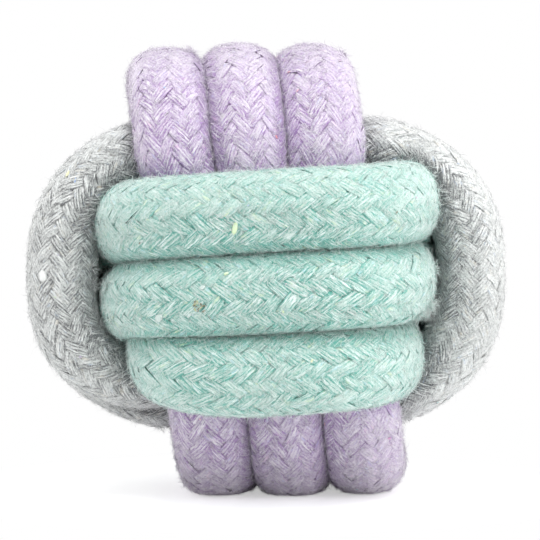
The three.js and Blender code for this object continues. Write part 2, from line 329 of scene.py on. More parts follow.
def read_surface(rope, length, way_round):
    """Points and normals at lengths along the rope and shares of the way round it."""
    turns_round = np.floor(way_round)
    column = np.interp(way_round - turns_round, ROUND_TABLE, np.arange(SECTION_SIDES + 1))
    row = np.interp(length, rope["length"], np.arange(len(rope["length"])))
    i = np.minimum(row.astype(int), len(rope["length"]) - 2)
    j = np.minimum(column.astype(int), SECTION_SIDES - 1)
    u, v = (row - i)[..., None], (column - j)[..., None]

    def blend(grid):
        low = mix(grid[i, j], grid[i, j + 1], v)
        high = mix(grid[i + 1, j], grid[i + 1, j + 1], v)
        return mix(low, high, u)

    return blend(rope["surface"]), unit(blend(rope["normals"])), blend(rope["openness"][..., None])[..., 0]


for rope in ROPES.values():
    make_surface(rope)
print("round the rope, mm:", round(float(PERIMETER), 1))

# %% [markdown]
# ## From arrays to meshes
# Every piece below ends as arrays of points and faces. One helper writes them into a mesh, lifts the
# ball onto the floor and presses what would go through the floor flat against it.

# %% Mesh helper
FLOOR_EASE = 0.7
FIELD_WAVES, WAVE_SPREAD = 9, (0.6, 1.6)


def settle(points):
    """Moves points from the middle of the ball to the floor's frame. What lies lower than a small
    height is squeezed into it along an exponential, so nothing passes through the floor."""
    points = points + np.array([0, 0, middle_height])
    low = points[..., 2] < FLOOR_EASE
    squeezed = FLOOR_EASE * np.exp(np.minimum(points[..., 2] / FLOOR_EASE, 1) - 1)
    points[..., 2] = np.where(low, squeezed, points[..., 2])
    return points


def mesh_piece(name, points, faces, replaced=()):
    """Makes an object from points in millimetres and a list of face arrays, each of one corner count."""
    mesh = bpy.data.meshes.new(name)
    corners = np.concatenate([block.ravel() for block in faces]).astype(np.int32)
    counts = np.concatenate([np.full(len(block), block.shape[1]) for block in faces])
    starts = np.concatenate([[0], np.cumsum(counts)[:-1]]).astype(np.int32)
    mesh.vertices.add(len(points))
    mesh.vertices.foreach_set("co", (points * MM).astype(np.float32).ravel())
    mesh.loops.add(len(corners))
    mesh.loops.foreach_set("vertex_index", corners)
    mesh.polygons.add(len(counts))
    mesh.polygons.foreach_set("loop_start", starts)
    mesh.update(calc_edges=True)
    mesh.validate()
    mesh.shade_smooth()
    piece = bpy.data.objects.new(name, mesh)
    bpy.context.scene.collection.objects.link(piece)
    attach(piece, "root")
    if replaced:
        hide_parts(*replaced)
    return piece


def corner_vertices(mesh):
    """The vertex that each face corner uses."""
    corners = np.empty(len(mesh.loops), np.int32)
    mesh.loops.foreach_get("vertex_index", corners)
    return corners


def add_map(mesh, name, places):
    """A UV map from one place for each vertex."""
    layer = mesh.uv_layers.new(name=name)
    layer.uv.foreach_set("vector", places[corner_vertices(mesh)].astype(np.float32).ravel())


def add_colour(mesh, name, values):
    """A colour attribute from red, green and blue values for each vertex."""
    full = np.concatenate([values, np.ones((len(values), 1))], axis=1)
    attribute = mesh.color_attributes.new(name, "FLOAT_COLOR", "POINT")
    attribute.data.foreach_set("color", full.astype(np.float32).ravel())


def grid_faces(rows, columns, closed=False):
    """Quads of a grid of points, optionally closed round its columns."""
    i = np.arange(rows - 1)[:, None]
    j = np.arange(columns if closed else columns - 1)[None]
    k = (j + 1) % columns
    here, there = i * columns, (i + 1) * columns
    return np.stack([here + j, here + k, there + k, there + j], axis=-1).reshape(-1, 4)


def closed_tube(rings):
    """Points and faces of a tube from rings of points, with a flat face at each end."""
    rows, columns = rings.shape[:2]
    side = np.arange(columns)
    ends = np.stack([side[::-1], (rows - 1) * columns + side])
    return rings.reshape(-1, 3), [grid_faces(rows, columns, closed=True), ends]


def soft_field(points, wave, seed):
    """A smooth random field from 0 to 1: the sum of sines along random directions, wave mm long."""
    draw = np.random.default_rng(seed)
    directions = unit(draw.normal(size=(FIELD_WAVES, 3)))
    waves = directions * 2 * np.pi / (wave * draw.uniform(*WAVE_SPREAD, (FIELD_WAVES, 1)))
    total = np.sin(points @ waves.T + draw.uniform(0, 2 * np.pi, FIELD_WAVES)).sum(axis=-1)
    return np.clip(0.5 + total / math.sqrt(2 * FIELD_WAVES) / 2, 0, 1)


# %% [markdown]
# ## The braid's count
# The rope is braided from 32 flat strands, sixteen running each way, and each strand goes over two
# and under two. A level is half of the way along the rope from one crossing to the next. A strand is
# four yarns wide.

# %% Sizes of strand and yarn
STRANDS = 32
LEVEL = 1.9
YARNS = 4
STITCH_WIDTH = math.hypot(LEVEL, PERIMETER / STRANDS)
YARN_PITCH = STITCH_WIDTH / YARNS
YARN_MAP = 10.0
print("strand, mm wide:", round(STITCH_WIDTH, 2), "yarn:", round(YARN_PITCH, 2))

# %% [markdown]
# ## Cotton
# Dyed cotton yarn has no gloss. It is paler on its fuzzy tops and deeper where it dives, partly by dye
# and wear and partly as painted shade in the hollows; each yarn has its own tone, and fine fibres run
# along it. A soft sheen lights the haze at the edges. The colours are in linear light. The shade of each
# yarn is stored on the mesh when it is made: red is how high the place stands, with painted shade in the
# crevices and along the stitch edges, green is the yarn's tone and blue is how felted the stitch is,
# raised where painted light and sheen pale the faces that look up, sideways and to the right.

# %% Cotton material
# The gap colour, darker and more saturated than the top, is painted shade: it colours the tube that shows
# between the stitches.
COTTONS = {
    "mint": {"pale": (0.80, 0.88, 0.86), "top": (0.56, 0.685, 0.64), "deep": (0.13, 0.40, 0.34),
             "gap": (0.24, 0.58, 0.51), "tints": ((0.72, 0.83, 0.52), (0.50, 0.76, 0.86))},
    "lilac": {"pale": (0.83, 0.80, 0.84), "top": (0.66, 0.605, 0.695), "deep": (0.33, 0.21, 0.43),
              "gap": (0.52, 0.37, 0.62), "tints": ((0.80, 0.56, 0.74), (0.56, 0.56, 0.84))},
    "grey": {"pale": (0.89, 0.90, 0.89), "top": (0.745, 0.765, 0.755), "deep": (0.17, 0.175, 0.18),
             "gap": (0.46, 0.465, 0.465), "tints": ((0.72, 0.66, 0.55), (0.48, 0.58, 0.72))},
}


def new_material(name):
    """A material and its node tree, which holds only a Principled shader and the output."""
    material = bpy.data.materials.new(name)
    material.use_nodes = True
    return material, material.node_tree


def add_math(tree, operation, first, second, third=None):
    """One Math node; each input is a number or a socket."""
    node = tree.nodes.new("ShaderNodeMath")
    node.operation = operation
    for socket, value in zip(node.inputs, (first, second, third)):
        if isinstance(value, bpy.types.NodeSocket):
            tree.links.new(value, socket)
        elif value is not None:
            socket.default_value = value
    return node.outputs[0]


def add_noise(tree, place, scale, stretch=(1, 1, 1), detail=3.0, roughness=0.6):
    """Noise read at a stretched place, from 0 to 1."""
    mapping = tree.nodes.new("ShaderNodeMapping")
    mapping.inputs["Scale"].default_value = stretch
    tree.links.new(place, mapping.inputs["Vector"])
    noise = tree.nodes.new("ShaderNodeTexNoise")
    noise.inputs["Scale"].default_value = scale
    noise.inputs["Detail"].default_value = detail
    noise.inputs["Roughness"].default_value = roughness
    tree.links.new(mapping.outputs[0], noise.inputs["Vector"])
    return noise.outputs["Fac"]


def add_blend(tree, share, low, high):
    """Blends two colours, each fixed or from a socket, by a share."""
    node = tree.nodes.new("ShaderNodeMix")
    node.data_type = "RGBA"
    node.clamp_factor = True
    for socket, value in ((node.inputs[0], share), (node.inputs[6], low), (node.inputs[7], high)):
        if isinstance(value, bpy.types.NodeSocket):
            tree.links.new(value, socket)
        else:
            socket.default_value = (*value, 1.0)
    return node.outputs[2]


def add_shade(tree):
    """The red, green and blue parts of the mesh's own shade."""
    shade = tree.nodes.new("ShaderNodeAttribute")
    shade.attribute_name = "shade"
    parts = tree.nodes.new("ShaderNodeSeparateColor")
    tree.links.new(shade.outputs["Color"], parts.inputs[0])
    return parts.outputs


def add_bump(tree, height, strength, depth):
    """Bumps on the Principled shader, as deep as the depth in millimetres."""
    bump = tree.nodes.new("ShaderNodeBump")
    bump.inputs["Strength"].default_value = strength
    bump.inputs["Distance"].default_value = depth * MM
    tree.links.new(height, bump.inputs["Height"])
    tree.links.new(bump.outputs[0], tree.nodes["Principled BSDF"].inputs["Normal"])


SCATTER_DEPTH = 0.5


def set_cotton(shader, sheen, tint=(1.0, 1.0, 1.0)):
    """The values that all cotton shares: matt, with a soft sheen in the cotton's own colour, and light
    that wanders a little way through the fibres."""
    shader.inputs["Roughness"].default_value = 0.95
    shader.inputs["Specular IOR Level"].default_value = 0.15
    shader.inputs["Sheen Weight"].default_value = sheen
    shader.inputs["Sheen Roughness"].default_value = 0.45
    shader.inputs["Sheen Tint"].default_value = (*tint, 1.0)
    shader.inputs["Subsurface Weight"].default_value = 0.35
    shader.inputs["Subsurface Radius"].default_value = (1.0, 1.0, 1.0)
    shader.inputs["Subsurface Scale"].default_value = SCATTER_DEPTH * MM


def add_spread(tree, value, amount, total):
    """Adds a noise to a total: its difference from one half, times an amount."""
    share = add_math(tree, "SUBTRACT", value, 0.5)
    return add_math(tree, "MULTIPLY_ADD", share, amount, total)


def add_share_above(tree, value, level, slope, most):
    """Rises from 0 where a noise passes a level, by a slope, to the most share."""
    rise = add_math(tree, "MULTIPLY_ADD", value, slope, -level * slope)
    return add_math(tree, "MINIMUM", add_math(tree, "MAXIMUM", rise, 0.0), most)


# How much calmer the grain, dashes and grooves are where the braid is felted or painted paler by light.
FELT_CALM = 0.7


def braid_material(name, colours):
    """Yarn that follows the mesh's own shade, with streaks along the yarn and a soft mottle. Two weak
    tints, a warm and a cool one, come and go as in yarn spun from mixed clippings. Short deep dashes lie
    between the fibres and long pale fibres over them. The grooves between the yarns are painted darker,
    partly deeper dye and partly painted shade. All but the finest lint is calmer where the braid is
    felted and where painted light and sheen pale it."""
    material, tree = new_material(name)
    shader = tree.nodes["Principled BSDF"]
    parts = add_shade(tree)
    yarn_map = tree.nodes.new("ShaderNodeUVMap")
    yarn_map.uv_map = "yarn"
    yarn = yarn_map.outputs[0]
    place = tree.nodes.new("ShaderNodeTexCoord").outputs["Object"]
    streaks = add_noise(tree, yarn, 9.0, (0.35, 2.0, 1), 4.0, 0.7)
    fibres = add_noise(tree, yarn, 22.0, (0.30, 1.7, 1), 3.0, 0.7)
    lint = add_noise(tree, place, 2300.0, detail=2.0)
    mottle = add_noise(tree, place, 260.0, detail=5.0, roughness=0.7)
    lively = add_math(tree, "MULTIPLY_ADD", parts["Blue"], -FELT_CALM, 1.0)
    grain = 0.0
    for value, amount in ((streaks, 1.0), (fibres, 2.0), (mottle, 0.7)):
        grain = add_spread(tree, value, amount, grain)
    lift = add_spread(tree, parts["Green"], 0.26, parts["Red"])
    lift = add_spread(tree, lint, 1.8, lift)
    lift = add_math(tree, "MULTIPLY_ADD", grain, lively, lift)
    # The grooves between the yarns are painted darker, partly deeper dye and partly painted shade, where the
    # mottle lets them show.
    split = tree.nodes.new("ShaderNodeSeparateXYZ")
    tree.links.new(yarn, split.inputs[0])
    across = add_math(tree, "MULTIPLY", split.outputs["Y"], YARN_MAP / YARN_PITCH)
    within_yarn = add_math(tree, "FRACT", across, None)
    from_middle = add_math(tree, "SUBTRACT", within_yarn, 0.5)
    off_middle = add_math(tree, "ABSOLUTE", from_middle, None)
    groove = add_share_above(tree, off_middle, 0.31, 9.0, 1.0)
    wear_and_light = add_share_above(tree, mottle, 0.38, 4.0, 1.0)
    groove = add_math(tree, "MULTIPLY", groove, wear_and_light)
    groove = add_math(tree, "MULTIPLY", groove, lively)
    lift = add_math(tree, "MULTIPLY_ADD", groove, -0.85, lift)
    colour = add_blend(tree, lift, colours["deep"], colours["top"])
    for seed, tint in enumerate(colours["tints"]):
        strands = add_noise(tree, yarn, 6.0 + 1.7 * seed, (0.45, 1.6, 1), 3.0, 0.6)
        tinted = add_share_above(tree, strands, 0.60, 5.0, 0.6)
        colour = add_blend(tree, tinted, colour, tint)
    dashes = add_noise(tree, yarn, 15.0, (0.30, 1.7, 1), 2.0, 0.6)
    dashes = add_share_above(tree, dashes, 0.555, 12.0, 0.95)
    dashes = add_math(tree, "MULTIPLY", dashes, lively)
    colour = add_blend(tree, dashes, colour, colours["deep"])
    threads = add_noise(tree, yarn, 16.5, (0.20, 1.9, 1), 2.0, 0.6)
    threads = add_share_above(tree, threads, 0.545, 11.0, 0.85)
    threads = add_math(tree, "MULTIPLY", threads, lively)
    colour = add_blend(tree, threads, colour, colours["pale"])
    tree.links.new(colour, shader.inputs["Base Color"])
    add_bump(tree, add_math(tree, "ADD", fibres, lint), 0.9, 0.25)
    set_cotton(shader, 1.0, colours["pale"])
    return material


braids = {name: braid_material(f"{name}_cotton", colours) for name, colours in COTTONS.items()}

# %% [markdown]
# ## The braid
# The surface is sixteen rows of stitches, slanting left and right by turns. A stitch is the part of a
# strand that shows: a patch on a slanted grid whose ends dive under the strands that cross it. Its four
# yarns are ridges with grooves between them.

# %% Stitch shape
STITCH_LIFT = 0.50
STITCH_DIVE = 0.56
YARN_RIDGE = 0.22
EDGE_DROP = 0.10
STITCH_SWELL = 1.13
FELT_WAVE = 22.0
HALF_BALL = 55.0
FELT_SEEDS = {"mint": 280, "lilac": 341, "grey": 322}
# Felting rises with a random field and, as painted light and sheen, on faces that look up, sideways and to
# the right: there the stitches are painted paler and calmer.
TOP_FELT_AND_LIGHT = 0.45
SIDE_FELT_AND_SHEEN = 0.95
RIGHT_FELT_AND_LIGHT = 0.5
FELT_LEVELS = {"mint": -0.18, "lilac": -0.12, "grey": -0.03}
FELT_MOST = 0.85
FELT_SLOPE, FELT_SCATTER = 0.75, 0.18
FELT_FILL = 0.8
BOW_POWER = 3.2
GROOVE_DEPTH, GROOVE_SCATTER, GROOVE_MOST = 0.55, 0.45, 1.4
RIDGE_CRISP, RIDGE_FELTED = 1.15, 0.95
SHADE_TOP, FELT_BLUR = 0.76, 0.85
# What a hollow place loses in shade, and what it wins back: on a lifted ridge, when lifted, on a ridge.
# The loss is partly deeper dye and partly painted shade in the hollows, and it fades where the braid is
# felted or painted paler by light.
SHADE_DROP, SHADE_BOTH, SHADE_LIFTED, SHADE_RIDGE = 0.55, 0.30, 0.16, 0.22
YARN_SHIFT = 0.055
# Painted shade in the crevices where turns press together: the room below which it starts, how dark it is
# painted, and its curve.
CREVICE_SHADE_ROOM = 1.75
CREVICE_PAINTED_SHADE = 0.75
# Painted shade along the long edges where the stitches meet.
SEAM_PAINTED_SHADE = 0.95
STITCH_TONE = 0.2
EDGE_WANDER = 0.035
SLEEVE_INSET = 0.55
DIVE_SHARE = 1.22
# Random spreads of a stitch: its slant and size, its place, and how high its parts stand.
SKEW, WIDTH_SPREAD, LENGTH_SPREAD = 0.08, 0.05, 0.04
SHIFT_ALONG, SHIFT_ACROSS, WANDER = 0.07, 0.03, 0.02
YARN_STAND, STITCH_STAND, POINT_STAND = 0.05, 0.06, 0.035
SIDE_POWER, CREVICE_SHADE_POWER = 1.3, 1.4

# Along a stitch 0 is its middle and 1 where it meets the crossing strand. Across it goes from -0.5 to 0.5.
along_shares = np.array([-DIVE_SHARE, -0.82, 0.0, 0.82, DIVE_SHARE])
groove_shares = np.array([0.0, 0.5])
PER_YARN = len(groove_shares)
across_shares = np.append((np.arange(YARNS)[:, None] + groove_shares).ravel() / YARNS, 1.0) - 0.5
ridge_shares = np.append(np.tile([0.0, 1.0], YARNS), 0.0)
MID_ROW, MID_COLUMN = len(along_shares) // 2, len(across_shares) // 2


def stitch_centres(rope):
    """Centres of all stitches, in strand columns and levels, with their slant and a random draw."""
    levels = int(rope["length"][-1] / LEVEL) - 2
    column = 4 * np.arange(STRANDS // 4)[:, None]
    level = 2 * np.arange(1, levels // 2)[None]
    blocks = []
    for slant, column_share, level_share in ((1, 0.5, 0.5), (-1, 2.5, 1.5)):
        centres = np.stack(np.broadcast_arrays(column + column_share, level + level_share), axis=-1)
        blocks.append(np.column_stack([centres.reshape(-1, 2), np.full(centres[..., 0].size, slant)]))
    return np.concatenate(blocks)


def per_yarn(values):
    """Spreads one value for each yarn over the yarn's points across the stitch."""
    spread = np.repeat(values, PER_YARN, axis=2)
    return np.concatenate([spread, spread[..., -1:]], axis=2)


def stitch_patches(rope, seed):
    """Points of every stitch: along its strand by a, across it by b. In columns and levels the place is
    centre + a (slant, 1) + b (-slant, 1), and the height is a bow along a plus a ridge for each yarn."""
    draw = np.random.default_rng(seed)
    centres = stitch_centres(rope)
    count = len(centres)
    column, level, slant = (centres[:, k][:, None, None] for k in range(3))
    a = along_shares[None, :, None]
    b = across_shares[None, None, :]

    def some(size, *shape):
        return draw.normal(0, size, (count, *shape))

    grid = (len(along_shares), len(across_shares))
    way_round = centres[:, 0] / STRANDS + rope["braid_turn"]
    middle, facing, _ = read_surface(rope, centres[:, 1] * LEVEL, way_round)
    wear_and_light = soft_field(middle, FELT_WAVE, FELT_SEEDS[rope["name"]])
    # The up, side and right terms add painted light and sheen: they pale and calm the stitches there and
    # flatten their ridges.
    wear_and_light = wear_and_light + TOP_FELT_AND_LIGHT * np.clip(facing[:, 2], 0, 1) ** 2
    wear_and_light = wear_and_light + SIDE_FELT_AND_SHEEN * (1 - np.abs(facing[:, 1])) ** SIDE_POWER
    right = np.clip(middle[:, 0] / HALF_BALL, 0, 1) ** 2
    wear_and_light = wear_and_light + RIGHT_FELT_AND_LIGHT * right
    most = mix(FELT_MOST, 1, right)[:, None, None]
    felt_and_light = FELT_LEVELS[rope["name"]] + FELT_SLOPE * wear_and_light[:, None, None] + some(FELT_SCATTER, 1, 1)
    felt_and_light = np.clip(felt_and_light, 0, most)
    skew = some(SKEW, 1, 1)
    swell = STITCH_SWELL + some(WIDTH_SPREAD, 1, 1)
    yarn_shift = per_yarn(some(YARN_SHIFT, 1, YARNS))
    a_here = a * (1 + some(LENGTH_SPREAD, 1, 1)) + some(SHIFT_ALONG, 1, 1) + yarn_shift
    wander = some(1.0, *grid) * (WANDER + EDGE_WANDER * np.abs(2 * b) ** 6)
    b_here = b * swell + skew * a + some(SHIFT_ACROSS, 1, 1) + wander
    place_column = column + slant * a_here - slant * b_here
    place_level = level + a_here + b_here
    depth = np.clip(GROOVE_DEPTH + some(GROOVE_SCATTER, *grid), 0, GROOVE_MOST)
    groove = np.where(ridge_shares > 0, 1, 1 - depth)
    yarn_height = per_yarn(some(YARN_STAND, 1, YARNS))
    filled = FELT_FILL * felt_and_light * (np.abs(a) < 1)
    bow = STITCH_LIFT - STITCH_DIVE * (1 - filled) * np.abs(a / DIVE_SHARE) ** BOW_POWER + 0 * b
    edge = -EDGE_DROP * np.abs(2 * b) ** 4
    ridge = groove * YARN_RIDGE * (RIDGE_CRISP - RIDGE_FELTED * felt_and_light) + yarn_height * ridge_shares
    height = bow + edge + ridge + some(STITCH_STAND, 1, 1) + some(POINT_STAND, *grid)
    length = place_level * LEVEL
    way_round = place_column / STRANDS + rope["braid_turn"] + rope["braid_twist"] * length
    points, normals, openness = read_surface(rope, length, way_round)
    points = points + normals * (height - SLEEVE_INSET)[..., None]
    lifted = np.clip((bow - STITCH_LIFT + STITCH_DIVE) / STITCH_DIVE, 0, 1)
    crisp = 1 - FELT_BLUR * felt_and_light
    # Hollows and dives are painted darker: partly deeper dye, partly painted shade.
    dye_and_painted_shade = SHADE_DROP - SHADE_BOTH * lifted * groove - SHADE_LIFTED * lifted - SHADE_RIDGE * groove
    red = SHADE_TOP - crisp * dye_and_painted_shade
    # Painted shade along the long edges of each stitch.
    red = red - SEAM_PAINTED_SHADE * crisp * np.abs(2 * b) ** 8
    # Painted shade in the crevices, darker the less room the pressing turns leave.
    painted_crevice_shade = np.clip((CREVICE_SHADE_ROOM - openness) / (CREVICE_SHADE_ROOM - 1), 0, 1) ** CREVICE_SHADE_POWER
    red = red - CREVICE_PAINTED_SHADE * painted_crevice_shade
    green = per_yarn(draw.random((count, 1, YARNS)))
    red = red + STITCH_TONE * (draw.random((count, 1, 1)) - 0.5)
    shade = np.stack(np.broadcast_arrays(red, green + 0 * red, felt_and_light + 0 * red), axis=-1)
    u = a_here * STITCH_WIDTH + draw.uniform(0, 400, (count, 1, 1)) + 0 * b
    v = b * STITCH_WIDTH + YARN_PITCH * draw.integers(0, 600, (count, 1, 1)) + 0 * a
    return points, shade, np.stack([u, v], axis=-1), np.stack([length, way_round], axis=-1), slant.ravel()


def patch_faces(slant):
    """Faces of one stitch: a grid on top and one many-sided face below that closes it."""
    rows, columns = len(along_shares), len(across_shares)
    top = grid_faces(rows, columns)
    rim = np.concatenate([
        np.arange(columns),
        np.arange(1, rows - 1) * columns + columns - 1,
        (rows - 1) * columns + np.arange(columns)[::-1],
        np.arange(rows - 2, 0, -1) * columns,
    ])
    return (top[:, ::-1], rim[None]) if slant < 0 else (top, rim[None, ::-1])


def sharpen_rims(mesh):
    """Marks the edges round each many-sided face as sharp. Without that the face below would turn the
    shading of a stitch's edge sideways and draw a dark outline round it."""
    edges = np.empty(len(mesh.loops), np.int32)
    mesh.loops.foreach_get("edge_index", edges)
    counts = np.empty(len(mesh.polygons), np.int32)
    mesh.polygons.foreach_get("loop_total", counts)
    sharp = np.zeros(len(mesh.edges), bool)
    sharp[edges[np.repeat(counts > 4, counts)]] = True
    mesh.edges.foreach_set("use_edge_sharp", sharp)


# %% Bake map of a turn
MAP_STRIPS = 2
MAP_GUTTER = 5.0


def strip_map(places, centre, start, length):
    """Lays a turn of rope out flat in strips beside each other, so that a texture can be baked for it.
    A whole stitch goes into the strip that holds its middle."""
    strip_length = length / MAP_STRIPS
    strip = np.clip(np.floor((centre - start) / strip_length), 0, MAP_STRIPS - 1)
    side = max(strip_length + 2 * MAP_GUTTER, MAP_STRIPS * (PERIMETER + 2 * MAP_GUTTER))
    u = (places[..., 0] - start - strip * strip_length + MAP_GUTTER) / side
    way = places[..., 1] - np.floor(places[:, MID_ROW, MID_COLUMN, 1])[:, None, None]
    v = (way * PERIMETER + MAP_GUTTER + strip * (PERIMETER + 2 * MAP_GUTTER)) / side
    return np.stack([u, v], axis=-1)


# %% Braid pieces, one for each turn
rope_seeds = {"mint": 11, "lilac": 23, "grey": 37}
braid_turns = {"mint": 0.02, "lilac": 0.0, "grey": 0.03}
BRAID_TWIST = 0.0002


def braid(rope):
    """Makes a rope's stitches as three pieces, one for each turn of the winding."""
    rope["braid_turn"] = braid_turns[rope["name"]]
    rope["braid_twist"] = BRAID_TWIST
    points, shade, yarn, places, slant = stitch_patches(rope, rope_seeds[rope["name"]])
    middle = places[:, MID_ROW, MID_COLUMN, 0]
    total = rope["length"][-1]
    for turn in range(TURNS):
        start, end = total * turn / TURNS, total * (turn + 1) / TURNS
        chosen = (middle >= start) & (middle < end)
        order = np.argsort(-slant[chosen], kind="stable")
        pick = np.flatnonzero(chosen)[order]
        right = int((slant[pick] > 0).sum())
        size = points.shape[1] * points.shape[2]
        first = np.arange(len(pick))[:, None, None] * size
        faces = []
        for part, lean in ((first[:right], 1), (first[right:], -1)):
            for face in patch_faces(lean):
                faces.append((part + face[None]).reshape(-1, face.shape[1]))
        name = f"{rope['name']}_braid_turn_{turn + 1}"
        settled = settle(points[pick].reshape(-1, 3))
        piece = mesh_piece(name, settled, faces, [f"{rope['name']}_rope_cover"])
        sharpen_rims(piece.data)
        add_colour(piece.data, "shade", shade[pick].reshape(-1, 3))
        add_map(piece.data, "yarn", yarn[pick].reshape(-1, 2) / YARN_MAP)
        centre = middle[pick][:, None, None]
        add_map(piece.data, "OFBake", strip_map(places[pick], centre, start, end - start).reshape(-1, 2))
        piece.data.materials.append(braids[rope["name"]])
        triangles = sum(len(block) * (block.shape[1] - 2) for block in faces)
        print(name, "stitches:", len(pick), "triangles:", triangles)


for rope in ROPES.values():
    braid(rope)

# %% [markdown]
# ## The sleeve under the stitches
# Between the stitches the eye falls on the strands that run below them. A closed tube just under the
# stitches stands for those, with a wall and open ends as a hollow braid has. Its colour is a mottle
# of the rope's gap colour, darker and more saturated than the tops as painted shade between the
# stitches, and the top colour.

# %% Sleeve
SLEEVE_WALL = 2.0
SLEEVE_STEP = 2
SLEEVE_SINK = -0.26
MOST_INSET = np.array([0.25, 0.6])[:, None, None]


def deep_material(name, colours):
    """The hidden strands: a fine mottle between the gap colour, painted darker as shade between the stitches,
    and the top colour.
    """
    material, tree = new_material(name)
    place = tree.nodes.new("ShaderNodeTexCoord").outputs["Object"]
    mottle = add_noise(tree, place, 900.0, detail=3.0)
    shader = tree.nodes["Principled BSDF"]
    tree.links.new(add_blend(tree, mottle, colours["gap"], colours["top"]), shader.inputs["Base Color"])
    set_cotton(shader, 0.1, colours["gap"])
    return material


def sleeve(rope):
    """A tube with a wall: the outer skin of the surface map, drawn in, and a bore inside it."""
    reach = rope["reach_round"][::SLEEVE_STEP, ::SLEEVE_STEP]
    inset = np.array([SLEEVE_INSET + SLEEVE_SINK, SLEEVE_INSET + SLEEVE_SINK + SLEEVE_WALL])
    share = np.minimum(inset[:, None, None] / reach, MOST_INSET)
    rays = rope["directions"][::SLEEVE_STEP, ::SLEEVE_STEP] * reach[..., None]
    middle = rope["places"][::SLEEVE_STEP, None]
    skins = [middle + rays * (1 - part[..., None]) for part in share]
    rows, columns = skins[0].shape[:2]
    points = np.concatenate([skin.reshape(-1, 3) for skin in skins])
    outer = grid_faces(rows, columns, closed=True)
    inner = outer[:, ::-1] + rows * columns
    j = np.arange(columns)
    k = (j + 1) % columns
    end = (rows - 1) * columns
    bore = rows * columns
    first = np.stack([k, j, bore + j, bore + k], axis=1)
    last = np.stack([end + j, end + k, bore + end + k, bore + end + j], axis=1)
    faces = [np.concatenate([outer, inner, first, last])]
    name = rope["name"]
    piece = mesh_piece(f"{name}_sleeve", settle(points), faces, [f"{name}_rope_cover"])
    piece.data.materials.append(deep_material(f"{name}_deep_cotton", COTTONS[name]))


for rope in ROPES.values():
    sleeve(rope)

# %% [markdown]
# ## What the ropes hold inside
# Each braid runs round a core of straight yarn, which shows only at the cut ends: a tube whose outline
# has a lobe for each bundle of yarn and turns slowly along the rope. The ends are bound with thread, a
# helix of close turns. In the middle of the ball sits a wad of teased cotton waste, a ball of triangles
# with soft lumps, coloured a darker grey than undyed cotton as painted shade in the pockets between the
# ropes.

# %% Filler of straight yarn
FILLER_GAP, FILLER_INSET = 0.5, 0.7
FILLER_LOBES = 9
LOBE_SHARE = 0.14
FILLER_LAY = 70.0


def yarn_material(name, low, high):
    """Undyed cotton: a warm mottle with a fine grain."""
    material, tree = new_material(name)
    place = tree.nodes.new("ShaderNodeTexCoord").outputs["Object"]
    grain = add_noise(tree, place, 1500.0, detail=4.0, roughness=0.7)
    clouds = add_noise(tree, place, 180.0, detail=3.0)
    share = add_math(tree, "MULTIPLY_ADD", clouds, 0.8, -0.4)
    share = add_math(tree, "MULTIPLY_ADD", grain, 1.2, share)
    shader = tree.nodes["Principled BSDF"]
    tree.links.new(add_blend(tree, share, low, high), shader.inputs["Base Color"])
    add_bump(tree, grain, 0.7, 0.2)
    set_cotton(shader, 0.2)
    return material


filler_cotton = yarn_material("undyed_yarn", (0.38, 0.36, 0.31), (0.80, 0.77, 0.70))
# The waste is darker than undyed cotton as painted shade for the pockets between the ropes.
waste_cotton_in_painted_shade = yarn_material("cotton_waste", (0.20, 0.20, 0.19), (0.50, 0.50, 0.47))


def filler(rope):
    """Rings at the bore's radius less a gap, times 1 - share (1 - cos(lobes angle)) / 2."""
    reach = rope["reach_round"][::SLEEVE_STEP, ::SLEEVE_STEP]
    inset = np.minimum((SLEEVE_INSET + SLEEVE_SINK + SLEEVE_WALL + FILLER_GAP) / reach, FILLER_INSET)
    angle = 2 * np.pi * np.arange(reach.shape[1]) / reach.shape[1]
    turned = angle[None] + 2 * np.pi * rope["length"][::SLEEVE_STEP, None] / FILLER_LAY
    lobes = 1 - LOBE_SHARE * (1 - np.cos(FILLER_LOBES * turned)) / 2
    radius = reach * (1 - inset) * lobes
    rays = rope["directions"][::SLEEVE_STEP, ::SLEEVE_STEP] * radius[..., None]
    points, faces = closed_tube(rope["places"][::SLEEVE_STEP, None] + rays)
    name = f"{rope['name']}_rope_filler"
    piece = mesh_piece(f"{rope['name']}_filler_yarn", settle(points), faces, [name])
    piece.data.materials.append(filler_cotton)


for rope in ROPES.values():
    filler(rope)

# %% Thread bindings
THREAD = 0.8
THREAD_SIDES, THREAD_STEPS = 8, 32
BINDING_LENGTH, BINDING_SET_BACK, BINDING_GAP = 8.0, 2.0, 0.3


def binding(rope, end):
    """A tube of thread along a helix: it follows the outline of the bound end and moves on by one
    thread each turn."""
    tip, side = (0, 1) if end == "start" else (-1, -1)
    inward = rope["tangent"][tip] * side
    turns = BINDING_LENGTH / THREAD - 1
    angle = np.linspace(0, 2 * np.pi * turns, int(turns * THREAD_STEPS) + 1)
    thick = rope["half_thickness"][tip] * np.cos(angle)
    wide = rope["half_width"][tip] * np.sin(angle)
    out = thick[:, None] * rope["outward"][tip] + wide[:, None] * rope["sideways"][tip]
    free = section_reach(thick, wide, rope["half_thickness"][tip], rope["half_width"][tip])
    out = unit(out)
    radius = free - BINDING_OVER + BINDING_GAP + THREAD / 2
    back = BINDING_SET_BACK + THREAD / 2 + THREAD * angle / (2 * np.pi)
    middle = rope["places"][tip] + back[:, None] * inward + radius[:, None] * out
    around = -2 * np.pi * side * np.arange(THREAD_SIDES) / THREAD_SIDES
    turn = np.cos(around)[None, :, None] * out[:, None] + np.sin(around)[None, :, None] * inward
    points, faces = closed_tube(middle[:, None] + THREAD / 2 * turn)
    name = rope["name"]
    replaced = [f"{name}_{end}_binding"]
    piece = mesh_piece(f"{name}_{end}_thread", settle(points), faces, replaced)
    piece.data.materials.append(thread_cotton[name])


